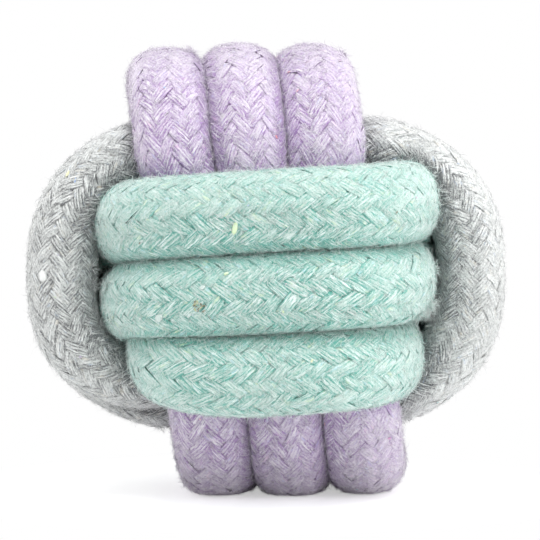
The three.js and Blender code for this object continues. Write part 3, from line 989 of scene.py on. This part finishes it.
thread_cotton = {name: yarn_material(f"{name}_thread", c["deep"], c["top"]) for name, c in COTTONS.items()}
for rope in ROPES.values():
    for end in ("start", "finish"):
        binding(rope, end)

# %% Wad of cotton waste
WAD_LUMP = 1.6
WAD_LUMP_WAVE = 9.0


def wad():
    """A ball of triangles whose radius is that of the solid less a smooth random lump."""
    low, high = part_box("stuffing_wad")
    solid_radius = (high[0] - low[0]) / 2 / MM
    centre = (np.array(low) + np.array(high)) / 2 / MM
    ball = bmesh.new()
    bmesh.ops.create_icosphere(ball, subdivisions=5, radius=1)
    directions = np.array([vertex.co[:] for vertex in ball.verts])
    ball.faces.ensure_lookup_table()
    faces = np.array([[vertex.index for vertex in face.verts] for face in ball.faces])
    ball.free()
    lumps = soft_field(directions * solid_radius, WAD_LUMP_WAVE, 5)
    points = centre + directions * (solid_radius - WAD_LUMP * lumps)[:, None]
    piece = mesh_piece("stuffing", points, [faces], ["stuffing_wad"])
    piece.data.materials.append(waste_cotton_in_painted_shade)


wad()

# %% [markdown]
# ## Finding a place that the photograph shows
# A few flecks and tufts are placed where the photograph has them. Closely spaced points of the ropes'
# surface maps are projected through the camera, and the front-most one close to the wanted pixel
# carries the fleck, so it sits on the rope from any side.

# %% From pixels to the surface
PIXEL_REACH = 3.0
PLACE_STEP, PLACES_ROUND = 0.5, 140


def all_places():
    """Many surface points with their pixel, their depth towards the camera, where they are on which
    rope, and their place."""
    towards = np.array(towards_camera)
    up = np.array([0, math.sin(CAMERA_ELEVATION), math.cos(CAMERA_ELEVATION)])
    blocks = []
    for number, rope in enumerate(ROPES.values()):
        length = np.arange(0, rope["length"][-1], PLACE_STEP)[:, None]
        length, way_round = np.broadcast_arrays(length, np.arange(PLACES_ROUND)[None] / PLACES_ROUND)
        points, normals, _ = read_surface(rope, length, way_round)
        away = settle(points) - np.array(target) / MM
        depth = CAMERA_DISTANCE - away @ towards
        scale = px_per_mm * CAMERA_DISTANCE / depth
        parts = [centre_px[0] + scale * away[..., 0], centre_px[1] - scale * (away @ up)]
        parts += [depth, normals @ towards, np.full(depth.shape, number), length, way_round]
        parts += [points[..., axis] for axis in range(3)]
        blocks.append(np.stack(parts, axis=-1).reshape(-1, len(parts)))
    return np.concatenate(blocks)


PLACES = all_places()


def surface_at(pixel):
    """The rope's name, and the way along and round it, of the front-most place near a pixel."""
    apart = np.hypot(PLACES[:, 0] - pixel[0], PLACES[:, 1] - pixel[1])
    near = (apart < PIXEL_REACH) & (PLACES[:, 3] > 0)
    score = np.where(near, PLACES[:, 2] + apart, np.inf) if near.any() else apart
    number, length, way_round = PLACES[score.argmin(), 4:7]
    return list(ROPES)[int(number)], length, way_round


def nearest_place(point):
    """The same for the place nearest to a point in millimetres from the middle of the ball."""
    apart = np.linalg.norm(PLACES[:, 7:] - point, axis=1)
    number, length, way_round = PLACES[apart.argmin(), 4:7]
    return list(ROPES)[int(number)], length, way_round


def rope_frame(name, length, way_round):
    """Point, outward normal and forward direction at places along and round a rope."""
    rope = ROPES[name]
    point, normal, openness = read_surface(rope, length, way_round)
    ahead, _, _ = read_surface(rope, length + PLACE_STEP, way_round)
    return point, normal, unit(ahead - point + 1e-9), openness


# %% [markdown]
# ## Flecks
# The yarn is spun from clippings, so here and there a coloured nep is caught in it. Each one is a small
# flat spindle that lies on the braid. Those on the front have their places by pixel, and the rest are
# scattered.

# %% Flecks
FLECK_COLOURS = {
    "lime": (0.66, 0.83, 0.50), "yellow": (0.76, 0.76, 0.46), "brown": (0.12, 0.12, 0.05),
    "white": (0.80, 0.81, 0.80), "straw": (0.40, 0.42, 0.20), "pale": (0.56, 0.66, 0.63),
    "teal": (0.16, 0.46, 0.44), "red": (0.72, 0.22, 0.26), "pink": (0.84, 0.46, 0.58),
    "blue": (0.34, 0.46, 0.74), "purple": (0.36, 0.20, 0.50), "turquoise": (0.22, 0.62, 0.66),
    "magenta": (0.62, 0.22, 0.52),
}
# Pixel across and down, length and width in millimetres, and the turn from the rope's direction.
SEEN_FLECKS = (
    (236, 228, 3.4, 1.3, 1.3, "lime"), (227, 274, 1.3, 0.8, 0.4, "lime"), (313, 360, 1.0, 0.5, 0.9, "yellow"),
    (283, 313, 1.4, 0.6, 2.3, "lime"), (158, 318, 2.5, 1.8, 0.6, "pale"), (408, 267, 1.4, 0.8, 0.8, "pale"),
    (43, 277, 3.0, 2.4, 0.2, "white"), (195, 358, 1.0, 0.5, 0.3, "teal"), (288, 72, 1.2, 0.5, 1.0, "red"),
    (276, 138, 1.0, 0.5, 0.4, "red"), (297, 90, 1.0, 0.5, 2.2, "pink"), (165, 87, 1.1, 0.5, 0.8, "blue"),
    (202, 122, 1.2, 0.5, 1.9, "purple"), (434, 299, 1.0, 0.5, 0.5, "turquoise"),
    (389, 438, 1.1, 0.6, 1.2, "magenta"), (76, 180, 1.8, 0.5, 0.5, "blue"),
    (398, 212, 1.0, 0.4, 0.8, "brown"), (139, 244, 0.9, 0.35, 0.7, "brown"),
    (68, 173, 1.9, 0.9, 0.4, "yellow"), (203, 312, 1.0, 0.5, 0.5, "brown"),
    (249, 205, 0.8, 0.35, 0.9, "blue"), (203, 288, 1.6, 0.9, 0.3, "pale"),
)
KNOT_PX, KNOT_REACH_PX, KNOT_FIBRES = (198, 306), (4.6, 3.4), 9
KNOT_LENGTH, KNOT_WIDTH = 1.2, 0.44
SCATTERED_FLECKS = 110
FLECK_MARGIN, FLECK_OPEN = 15, 0.95
FLECK_LENGTHS, FLECK_SLIMNESS = (0.4, 1.1), (0.3, 0.6)
FLECK_FADE = 0.45
FLECK_LIFT = 0.08
SPINDLE_PLACES = np.array([-1.0, -0.55, 0.05, 0.6, 1.0])
SPINDLE_WIDTHS = np.array([0.0, 0.8, 1.0, 0.7, 0.0])
SPINDLE_SIDES = 6
SPINDLE_FLATNESS = 0.4
MOST_THICK = 0.36


def fleck_piece(name, flecks):
    """Spindles from a list of place, normal, heading, length, width and colour."""
    place, normal, heading, length, width, colour = (np.array(part) for part in zip(*flecks))
    side = unit(np.cross(normal, heading))
    angle = 2 * np.pi * np.arange(SPINDLE_SIDES) / SPINDLE_SIDES
    ring = np.cos(angle)[None, :, None] * side[:, None]
    flatness = np.minimum(SPINDLE_FLATNESS, MOST_THICK / width)[:, None, None]
    ring = ring + flatness * np.sin(angle)[None, :, None] * normal[:, None]
    along = SPINDLE_PLACES[1:-1, None, None] * heading[:, None, None] * length[:, None, None, None] / 2
    around = SPINDLE_WIDTHS[1:-1, None, None] * ring[:, None] * width[:, None, None, None] / 2
    middle = (place + FLECK_LIFT * normal)[:, None, None]
    body = (middle + along + around).reshape(len(place), -1, 3)
    reach = heading * length[:, None] / 2
    tips = np.stack([middle[:, 0, 0] - reach, middle[:, 0, 0] + reach], axis=1)
    points = np.concatenate([body, tips], axis=1)
    rings = len(SPINDLE_PLACES) - 2
    walls = grid_faces(rings, SPINDLE_SIDES, closed=True)
    j = np.arange(SPINDLE_SIDES)
    k = (j + 1) % SPINDLE_SIDES
    end = (rings - 1) * SPINDLE_SIDES
    back, front = rings * SPINDLE_SIDES, rings * SPINDLE_SIDES + 1
    caps = np.concatenate([
        np.stack([k, j, j * 0 + back], axis=1),
        np.stack([end + j, end + k, j * 0 + front], axis=1),
    ])
    first = points.shape[1] * np.arange(len(place))[:, None, None]
    faces = [(first + block[None]).reshape(-1, block.shape[1]) for block in (walls, caps)]
    settled = settle(points.reshape(-1, 3))
    piece = mesh_piece(f"{name}_flecks", settled, faces, [f"{name}_rope_cover"])
    add_colour(piece.data, "shade", np.repeat(colour, points.shape[1], axis=0))
    piece.data.materials.append(fleck_cotton)
    print(name, "flecks:", len(place))


def fleck_material():
    """Neps: their own colour, with the grain of the cotton over it."""
    material, tree = new_material("dyed_neps")
    shade = tree.nodes.new("ShaderNodeAttribute")
    shade.attribute_name = "shade"
    place = tree.nodes.new("ShaderNodeTexCoord").outputs["Object"]
    grain = add_noise(tree, place, 2600.0, detail=3.0)
    share = add_math(tree, "MULTIPLY_ADD", grain, 1.4, -0.55)
    shader = tree.nodes["Principled BSDF"]
    colour = add_blend(tree, share, shade.outputs["Color"], (0.8, 0.84, 0.82))
    tree.links.new(colour, shader.inputs["Base Color"])
    set_cotton(shader, 0.3)
    return material


def turned_heading(normal, forward, turn):
    """The direction in the surface that lies turn radians from the rope's own."""
    forward = unit(forward - normal * (normal * forward).sum(axis=-1, keepdims=True))
    across = np.cross(normal, forward)
    return np.cos(turn)[..., None] * forward + np.sin(turn)[..., None] * across


fleck_cotton = fleck_material()
fleck_lists = {name: [] for name in ROPES}
for x, y, length, width, turn, colour in SEEN_FLECKS:
    name, length_along, way_round = surface_at((x, y))
    point, normal, forward, _ = rope_frame(name, np.array(length_along), np.array(way_round))
    heading = turned_heading(normal, forward, np.array(turn))
    fleck_lists[name].append((point, normal, heading, length, width, FLECK_COLOURS[colour]))

for number in range(KNOT_FIBRES):
    angle = 2 * np.pi * number / KNOT_FIBRES
    pixel = (KNOT_PX[0] + KNOT_REACH_PX[0] * math.cos(angle), KNOT_PX[1] + KNOT_REACH_PX[1] * math.sin(angle))
    name, length_along, way_round = surface_at(pixel)
    point, normal, forward, _ = rope_frame(name, np.array(length_along), np.array(way_round))
    heading = turned_heading(normal, forward, np.array(angle))
    colour = FLECK_COLOURS["straw" if number % 2 else "brown"]
    fleck_lists[name].append((point, normal, heading, KNOT_LENGTH, KNOT_WIDTH, colour))

for name, rope in ROPES.items():
    draw = np.random.default_rng(rope_seeds[name] + 200)
    for _ in range(SCATTERED_FLECKS):
        length_along = draw.uniform(FLECK_MARGIN, rope["length"][-1] - FLECK_MARGIN)
        way_round = draw.random()
        point, normal, forward, openness = rope_frame(name, np.array(length_along), np.array(way_round))
        heading = turned_heading(normal, forward, draw.uniform(0, np.pi, ()))
        colour = np.array(FLECK_COLOURS[draw.choice(list(FLECK_COLOURS))])
        colour = mix(colour, np.array(COTTONS[name]["top"]), FLECK_FADE)
        length = draw.uniform(*FLECK_LENGTHS)
        if openness > FLECK_OPEN:
            width = length * draw.uniform(*FLECK_SLIMNESS)
            fleck_lists[name].append((point, normal, heading, length, width, colour))
    fleck_piece(name, fleck_lists[name])

# %% [markdown]
# ## Fuzz
# Worn cotton is covered in loose fibres. Most lie on the braid and blur it, some stand up and make
# the soft rim, and a few tufts are pulled out. Each fibre is a thin bent spike of ten faces. The
# roots are scattered over the part of each rope that faces outwards.

# %% Fibre shape
FIBRE_HALF = 0.045
FIBRE_ROOT = 0.12
FIBRE_THINNING, FIBRE_DROOP = 0.85, 0.12
CELLS = 140
CELL_SHARE = 0.3
MOST_TONE = 1.5


def corner_ring(side, upward):
    """Three directions round each spike, from its side and upward directions."""
    corner = 2 * np.pi * np.arange(3) / 3
    across = np.cos(corner)[None, :, None] * side[:, None]
    return across + np.sin(corner)[None, :, None] * upward[:, None]


def add_cells(mesh, count, cells, within):
    """A bake map with one cell for each spike. Within holds the places of its points in the cell."""
    cell = np.arange(count)
    corners = np.stack([cell % cells, cell // cells], axis=-1)[:, None] + 0.5
    add_map(mesh, "OFBake", ((corners + CELL_SHARE * np.array(within)) / cells).reshape(-1, 2))


def blade_piece(name, roots, normals, heading, length, lift, half, tone, material, replaced):
    """Straight spikes of four faces from a triangle at the root to a tip."""
    side = unit(np.cross(normals, heading))
    forward = heading * np.sqrt(1 - lift**2)[:, None] + normals * lift[:, None]
    upward = np.cross(forward, side)
    ring = corner_ring(side, upward) * half[:, None, None]
    points = np.concatenate([roots[:, None] + ring, (roots + forward * length[:, None])[:, None]], axis=1)
    walls = np.array([[0, 1, 2], [0, 3, 1], [1, 3, 2], [2, 3, 0]])
    faces = (4 * np.arange(len(points))[:, None, None] + walls[None]).reshape(-1, 3)
    piece = mesh_piece(name, settle(points.reshape(-1, 3)), [faces], replaced)
    add_colour(piece.data, "shade", np.repeat(np.stack([tone, tone, tone], axis=-1), 4, axis=0))
    cells = math.ceil(math.sqrt(len(points)))
    add_cells(piece.data, len(points), cells, [[-1, -1], [1, -1], [0, 1], [0, 0]])
    piece.data.materials.append(material)
    return len(points)


def fibre_piece(name, roots, normals, heading, length, lift, curl, tone, material, replaced):
    """Spikes from root over a bent middle to a tip. The heading lies in the surface, lift is the share
    of the length that goes up, and the second half turns by curl and comes down again."""
    side = unit(np.cross(normals, heading))
    rise = np.sqrt(1 - lift**2)
    first = heading * rise[:, None] + normals * lift[:, None]
    turned = heading * np.cos(curl)[:, None] + side * np.sin(curl)[:, None]
    second = unit(turned * rise[:, None] + normals * (lift / 2 - FIBRE_DROOP)[:, None])
    start = roots + normals * FIBRE_ROOT
    middle = start + first * length[:, None] / 2
    tip = middle + second * length[:, None] / 2
    ring = FIBRE_HALF * corner_ring(side, np.cross(first, side))
    bent = middle[:, None] + FIBRE_THINNING * ring
    points = np.concatenate([start[:, None] + ring, bent, tip[:, None]], axis=1)
    bottom = np.array([[0, 1, 2]])
    walls = np.array([[0, 3, 4, 1], [1, 4, 5, 2], [2, 5, 3, 0]])
    tips = np.array([[3, 6, 4], [4, 6, 5], [5, 6, 3]])
    first_point = 7 * np.arange(len(points))[:, None, None]
    faces = [(first_point + block[None]).reshape(-1, block.shape[1]) for block in (bottom, walls, tips)]
    piece = mesh_piece(name, settle(points.reshape(-1, 3)), faces, replaced)
    shade = np.repeat(np.stack([tone, tone, tone], axis=-1), 7, axis=0)
    add_colour(piece.data, "shade", shade)
    within = [[-1, -1], [1, -1], [0, -1], [-1, 0], [1, 0], [0, 0], [0, 1]]
    add_cells(piece.data, len(points), CELLS, within)
    piece.data.materials.append(material)
    return len(points)


def fuzz_material(name, colours):
    """Loose fibres: the rope's colours by the fibre's own tone."""
    material, tree = new_material(name)
    parts = add_shade(tree)
    shader = tree.nodes["Principled BSDF"]
    pale = tuple(mix(part, 1, 0.45) for part in colours["top"])
    tree.links.new(add_blend(tree, parts["Red"], colours["deep"], pale), shader.inputs["Base Color"])
    set_cotton(shader, 0.3, colours["pale"])
    return material


fuzz_cotton = {name: fuzz_material(f"{name}_fuzz", colours) for name, colours in COTTONS.items()}

# %% Fuzz over each rope
# Pixel across and down, number of fibres, and their length in millimetres.
SEEN_TUFTS = (
    (194, 46, 46, 2.6), (188, 50, 30, 2.2), (351, 44, 34, 2.4), (186, 480, 40, 2.6), (483, 366, 9, 3.0),
    (160, 430, 16, 2.0), (84, 136, 14, 1.8), (30, 268, 12, 1.6), (318, 44, 14, 1.8), (118, 172, 26, 2.2),
    (92, 268, 40, 2.6), (108, 268, 50, 2.6), (93, 284, 40, 2.6), (106, 286, 50, 2.6),
    (433, 322, 40, 2.6), (421, 316, 50, 2.6), (430, 308, 30, 2.6), (437, 268, 30, 2.2),
)
# The corner between the grey rope and two mint turns is open right through. Fibre fills it, at these
# places in millimetres from the middle of the ball.
CORNER_TUFTS = [(39.0, y, z) for y in (-24, -15, -5, 5, 15, 24) for z in (-7.5, -10.5)]
CORNER_FIBRES, CORNER_REACH = 60, 3.3
TUFTS = [(surface_at((x, y)), fibres, reach) for x, y, fibres, reach in SEEN_TUFTS]
TUFTS += [(nearest_place(point), CORNER_FIBRES, CORNER_REACH) for point in CORNER_TUFTS]
TUFT_SPREAD = 1.1
FIBRE_TRIES = 40000
FIBRE_MOST = 12000
STANDING_SHARE, FUZZ_OPEN = 0.30, 0.80
YARN_LEAN, CURL_SPREAD = (0.85, 0.35), 0.9
# Lift from and to, and shape and scale of the length, of fibres that stand and that lie.
STANDING_LIFT, LYING_LIFT = (0.35, 0.95), (0.05, 0.30)
STANDING_LENGTH, LYING_LENGTH = (4, 0.33), (5, 0.40)
FIBRE_LENGTHS, FIBRE_TONE = (0.4, 4.0), (0.95, 0.35)
TUFT_LIFT, TUFT_LENGTHS, TUFT_CURL = (0.5, 0.97), (0.5, 1.2), 1.2


def fuzz(rope, seed):
    """Scatters roots over the rope, keeps those that face out of the ball and aren't covered, and
    gives each a heading near the direction of the yarns, a length and a lift."""
    draw = np.random.default_rng(seed)
    total = rope["length"][-1]
    way_along = draw.uniform(0, total, FIBRE_TRIES)
    way_round = draw.random(FIBRE_TRIES)
    points, normals, openness = read_surface(rope, way_along, way_round)
    ahead, _, _ = read_surface(rope, np.minimum(way_along + 0.5, total), way_round)
    facing = np.einsum("ij,ij->i", unit(points), normals)
    kept = np.flatnonzero((facing > 0.0) & (openness > FUZZ_OPEN))[:FIBRE_MOST]
    points, normals, ahead = points[kept], normals[kept], ahead[kept]
    count = len(kept)
    forward = ahead - points + 1e-6
    forward = unit(forward - normals * np.einsum("ij,ij->i", forward, normals)[:, None])
    across = np.cross(normals, forward)
    lean = draw.choice([-1, 1], count) * draw.normal(*YARN_LEAN, count) + np.pi * draw.integers(0, 2, count)
    heading = np.cos(lean)[:, None] * forward + np.sin(lean)[:, None] * across
    standing = draw.random(count) < STANDING_SHARE
    lift = np.where(standing, draw.uniform(*STANDING_LIFT, count), draw.uniform(*LYING_LIFT, count))
    length = np.where(standing, draw.gamma(*STANDING_LENGTH, count), draw.gamma(*LYING_LENGTH, count))
    curl = draw.normal(0, CURL_SPREAD, count)
    name = rope["name"]
    for (tuft_rope, length_along, round_there), fibres, reach in TUFTS:
        if tuft_rope != name:
            continue
        point, normal, forward, _ = rope_frame(name, np.array(length_along), np.array(round_there))
        around = turned_heading(np.tile(normal, (fibres, 1)), forward, draw.uniform(0, 2 * np.pi, fibres))
        points = np.concatenate([points, point + around * draw.uniform(0, TUFT_SPREAD, (fibres, 1))])
        normals = np.concatenate([normals, np.tile(normal, (fibres, 1))])
        heading = np.concatenate([heading, around])
        lift = np.concatenate([lift, draw.uniform(*TUFT_LIFT, fibres)])
        length = np.concatenate([length, reach * draw.uniform(*TUFT_LENGTHS, fibres)])
        curl = np.concatenate([curl, draw.normal(0, TUFT_CURL, fibres)])
    tone = np.clip(draw.normal(*FIBRE_TONE, len(points)), 0, MOST_TONE)
    length = np.clip(length, *FIBRE_LENGTHS)
    made = fibre_piece(f"{name}_fuzz", points, normals, heading, length,
                       lift, curl, tone, fuzz_cotton[name], [f"{name}_rope_cover"])
    print(name, "fibres:", made)


for rope in ROPES.values():
    fuzz(rope, rope_seeds[rope["name"]] + 100)

# %% [markdown]
# ## Lint
# The fibres that are rubbed flat lie along the yarn that they come from and run a little past its end,
# over the gaps. They break up the outline of each stitch. Between them stands a short nap, which is the
# haze round the ball. There are very many, so each one is a straight spike of four faces, and all of a
# rope's are one piece.

# %% Lint along the yarns
LINT_MOST = 35000
CREVICE_MOST = 11000
CREVICE_OPEN = (1.02, 1.34)
CREVICE_HALF = 0.055
ROUND_STEP = 0.01
NAP_SHARE = 0.42
LINT_HALF, NAP_HALF = 0.06, 0.034
LINT_AHEAD = 0.15
LINT_HEIGHT = 0.20
LINT_SPREAD, LINT_DIVE, LINT_STAND = 0.26, 0.8, 0.05
LINT_FACING, LINT_OPEN = -0.1, 0.6
# Shape and scale of the length, and the lift: a range for nap, a middle and a spread for lint.
NAP_LENGTH, LINT_LENGTH = (6, 0.17), (5, 0.32)
NAP_LIFT, LINT_LIFT = (0.4, 0.97), (0.07, 0.06)
CREVICE_LENGTH, CREVICE_LIFT, CREVICE_LEAN = (0.7, 2.0), (0.2, 0.8), 0.7
LINT_LENGTHS, LINT_TONE = (0.5, 3.2), (0.85, 0.45)


def crevice_roots(rope, centres, draw):
    """Roots near the lips of the crevices, spread over the stitches there. The heading is the way round
    the rope in which the room beside it gets less, turned a little, so the fibres reach over the gap."""
    count = len(centres)
    length = (centres[:, 1] + draw.uniform(-1.5, 1.5, count)) * LEVEL
    way_round = (centres[:, 0] + draw.uniform(-1.5, 1.5, count)) / STRANDS + rope["braid_turn"]
    points, normals, _ = read_surface(rope, length, way_round)
    ahead, _, room_ahead = read_surface(rope, length, way_round + ROUND_STEP)
    back, _, room_back = read_surface(rope, length, way_round - ROUND_STEP)
    over = np.where((room_ahead < room_back)[:, None], ahead, back) - points
    return points, normals, turned_heading(normals, unit(over + 1e-9), draw.normal(0, CREVICE_LEAN, count))


def lint(rope, seed):
    """Roots are random places on random stitches that face out of the ball, the heading is the way
    from there along the stitch, turned a little, and the height follows the bow of the stitch."""
    draw = np.random.default_rng(seed)
    centres = stitch_centres(rope)
    twist = rope["braid_twist"]
    along = centres[:, 1] * LEVEL
    way_round = centres[:, 0] / STRANDS + rope["braid_turn"] + twist * centres[:, 1] * LEVEL
    points, normals, openness = read_surface(rope, along, way_round)
    facing = np.einsum("ij,ij->i", unit(points), normals)
    seen = np.flatnonzero((facing > LINT_FACING) & (openness > LINT_OPEN))
    pick = centres[draw.choice(seen, LINT_MOST)]
    slant = pick[:, 2]
    a = draw.uniform(-1.0, 1.0, LINT_MOST)
    b = draw.uniform(-0.5, 0.5, LINT_MOST)

    def place_at(along):
        length = (pick[:, 1] + along + b) * LEVEL
        way_round = (pick[:, 0] + slant * along - slant * b) / STRANDS + rope["braid_turn"] + twist * length
        return read_surface(rope, length, way_round)

    roots, normals, _ = place_at(a)
    ahead, _, _ = place_at(a + LINT_AHEAD)
    along = unit(ahead - roots + 1e-9) * draw.choice([-1, 1], LINT_MOST)[:, None]
    heading = turned_heading(normals, along, draw.normal(0, LINT_SPREAD, LINT_MOST))
    dive = STITCH_DIVE * np.abs(a / DIVE_SHARE) ** BOW_POWER * LINT_DIVE
    height = LINT_HEIGHT - dive + draw.normal(0, LINT_STAND, LINT_MOST)
    roots = roots + normals * height[:, None]
    nap = draw.random(LINT_MOST) < NAP_SHARE
    length = np.where(nap, draw.gamma(*NAP_LENGTH, LINT_MOST), draw.gamma(*LINT_LENGTH, LINT_MOST))
    length = np.clip(length, *LINT_LENGTHS)
    lift = np.where(nap, draw.uniform(*NAP_LIFT, LINT_MOST), draw.normal(*LINT_LIFT, LINT_MOST))
    lift = np.clip(lift, -0.02, 1)
    half = np.where(nap, NAP_HALF, LINT_HALF)
    lips = np.flatnonzero((facing > 0.0) & (openness > CREVICE_OPEN[0]) & (openness < CREVICE_OPEN[1]))
    lip_points, lip_normals, lip_heading = crevice_roots(rope, centres[draw.choice(lips, CREVICE_MOST)], draw)
    roots, normals = np.concatenate([roots, lip_points]), np.concatenate([normals, lip_normals])
    heading = np.concatenate([heading, lip_heading])
    length = np.concatenate([length, draw.uniform(*CREVICE_LENGTH, CREVICE_MOST)])
    lift = np.concatenate([lift, draw.uniform(*CREVICE_LIFT, CREVICE_MOST)])
    half = np.concatenate([half, np.full(CREVICE_MOST, CREVICE_HALF)])
    tone = np.clip(draw.normal(*LINT_TONE, len(roots)), 0, MOST_TONE)
    name = rope["name"]
    made = blade_piece(f"{name}_lint", roots, normals, heading, length, lift, half, tone,
                       fuzz_cotton[name], [f"{name}_rope_cover"])
    print(name, "lint:", made)


for rope in ROPES.values():
    lint(rope, rope_seeds[rope["name"]] + 300)

# %% [markdown]
# ## Light and floor
# The picture is bright and soft: a broad light from above and a little to the right, an even white
# room, and a white floor that keeps only a faint shadow. The room and floor are white by their own
# colour, so the ball isn't overlit.

# %% Light and floor
WORLD_STRENGTH = 0.775
# Place, size and power of each light.
LIGHTS = {
    "key_light": ((0.05, -0.24, 0.66), 0.45, 3.8),
    "right_light": ((0.58, -0.22, 0.03), 0.45, 2.8),
    "left_light": ((-0.62, 0.02, 0.05), 0.45, 0.7),
}
FLOOR_HALF = 4.0
SHADOW_FROM, SHADOW_TO = 25.0, 80.0
FLOOR_LIFT = 0.5


def add_area_light(name, place, size, power):
    """A square soft light that looks at the ball."""
    place = Vector(place)
    data = bpy.data.lights.new(name, "AREA")
    data.size = size
    data.energy = power
    light = bpy.data.objects.new(name, data)
    light.location = place
    light.rotation_euler = (target - place).to_track_quat("-Z", "Y").to_euler()
    bpy.context.scene.collection.objects.link(light)


for name, (place, size, power) in LIGHTS.items():
    add_area_light(name, place, size, power)

world = bpy.data.worlds.new("room")
bpy.context.scene.world = world
world.use_nodes = True
room = world.node_tree.nodes["Background"]
room.inputs["Color"].default_value = (1, 1, 1, 1)
path = world.node_tree.nodes.new("ShaderNodeLightPath")
seen = add_math(world.node_tree, "MAXIMUM", path.outputs["Is Camera Ray"], path.outputs["Is Glossy Ray"])
strength = add_math(world.node_tree, "MULTIPLY_ADD", seen, 1 - WORLD_STRENGTH, WORLD_STRENGTH)
world.node_tree.links.new(strength, room.inputs["Strength"])

floor_mesh = bpy.data.meshes.new("floor")
floor_corners = [(-FLOOR_HALF, -FLOOR_HALF, 0), (FLOOR_HALF, -FLOOR_HALF, 0),
                 (FLOOR_HALF, FLOOR_HALF, 0), (-FLOOR_HALF, FLOOR_HALF, 0)]
floor_mesh.from_pydata(floor_corners, [], [(0, 1, 2, 3)])
floor = bpy.data.objects.new("floor", floor_mesh)
bpy.context.scene.collection.objects.link(floor)
floor_material, floor_tree = new_material("white_floor")
floor_shader = floor_tree.nodes["Principled BSDF"]
floor_shader.inputs["Base Color"].default_value = (0.92, 0.92, 0.92, 1)
floor_shader.inputs["Roughness"].default_value = 0.9
floor_shader.inputs["Emission Color"].default_value = (1, 1, 1, 1)
white = floor_tree.nodes.new("ShaderNodeEmission")
far = floor_tree.nodes.new("ShaderNodeVectorMath")
far.operation = "LENGTH"
floor_tree.links.new(floor_tree.nodes.new("ShaderNodeTexCoord").outputs["Object"], far.inputs[0])
fade = floor_tree.nodes.new("ShaderNodeMapRange")
fade.interpolation_type = "SMOOTHSTEP"
fade.inputs["From Min"].default_value = SHADOW_FROM * MM
fade.inputs["From Max"].default_value = SHADOW_TO * MM
floor_tree.links.new(far.outputs["Value"], fade.inputs["Value"])
seen_by_camera = floor_tree.nodes.new("ShaderNodeLightPath").outputs["Is Camera Ray"]
seen_white = add_math(floor_tree, "MULTIPLY", fade.outputs[0], seen_by_camera)
lift = add_math(floor_tree, "MULTIPLY", seen_by_camera, FLOOR_LIFT)
floor_tree.links.new(lift, floor_shader.inputs["Emission Strength"])
mixed = floor_tree.nodes.new("ShaderNodeMixShader")
floor_tree.links.new(seen_white, mixed.inputs[0])
floor_tree.links.new(floor_shader.outputs[0], mixed.inputs[1])
floor_tree.links.new(white.outputs[0], mixed.inputs[2])
floor_tree.links.new(mixed.outputs[0], floor_tree.nodes["Material Output"].inputs["Surface"])
floor_mesh.materials.append(floor_material)

bpy.context.scene.view_settings.view_transform = "Standard"
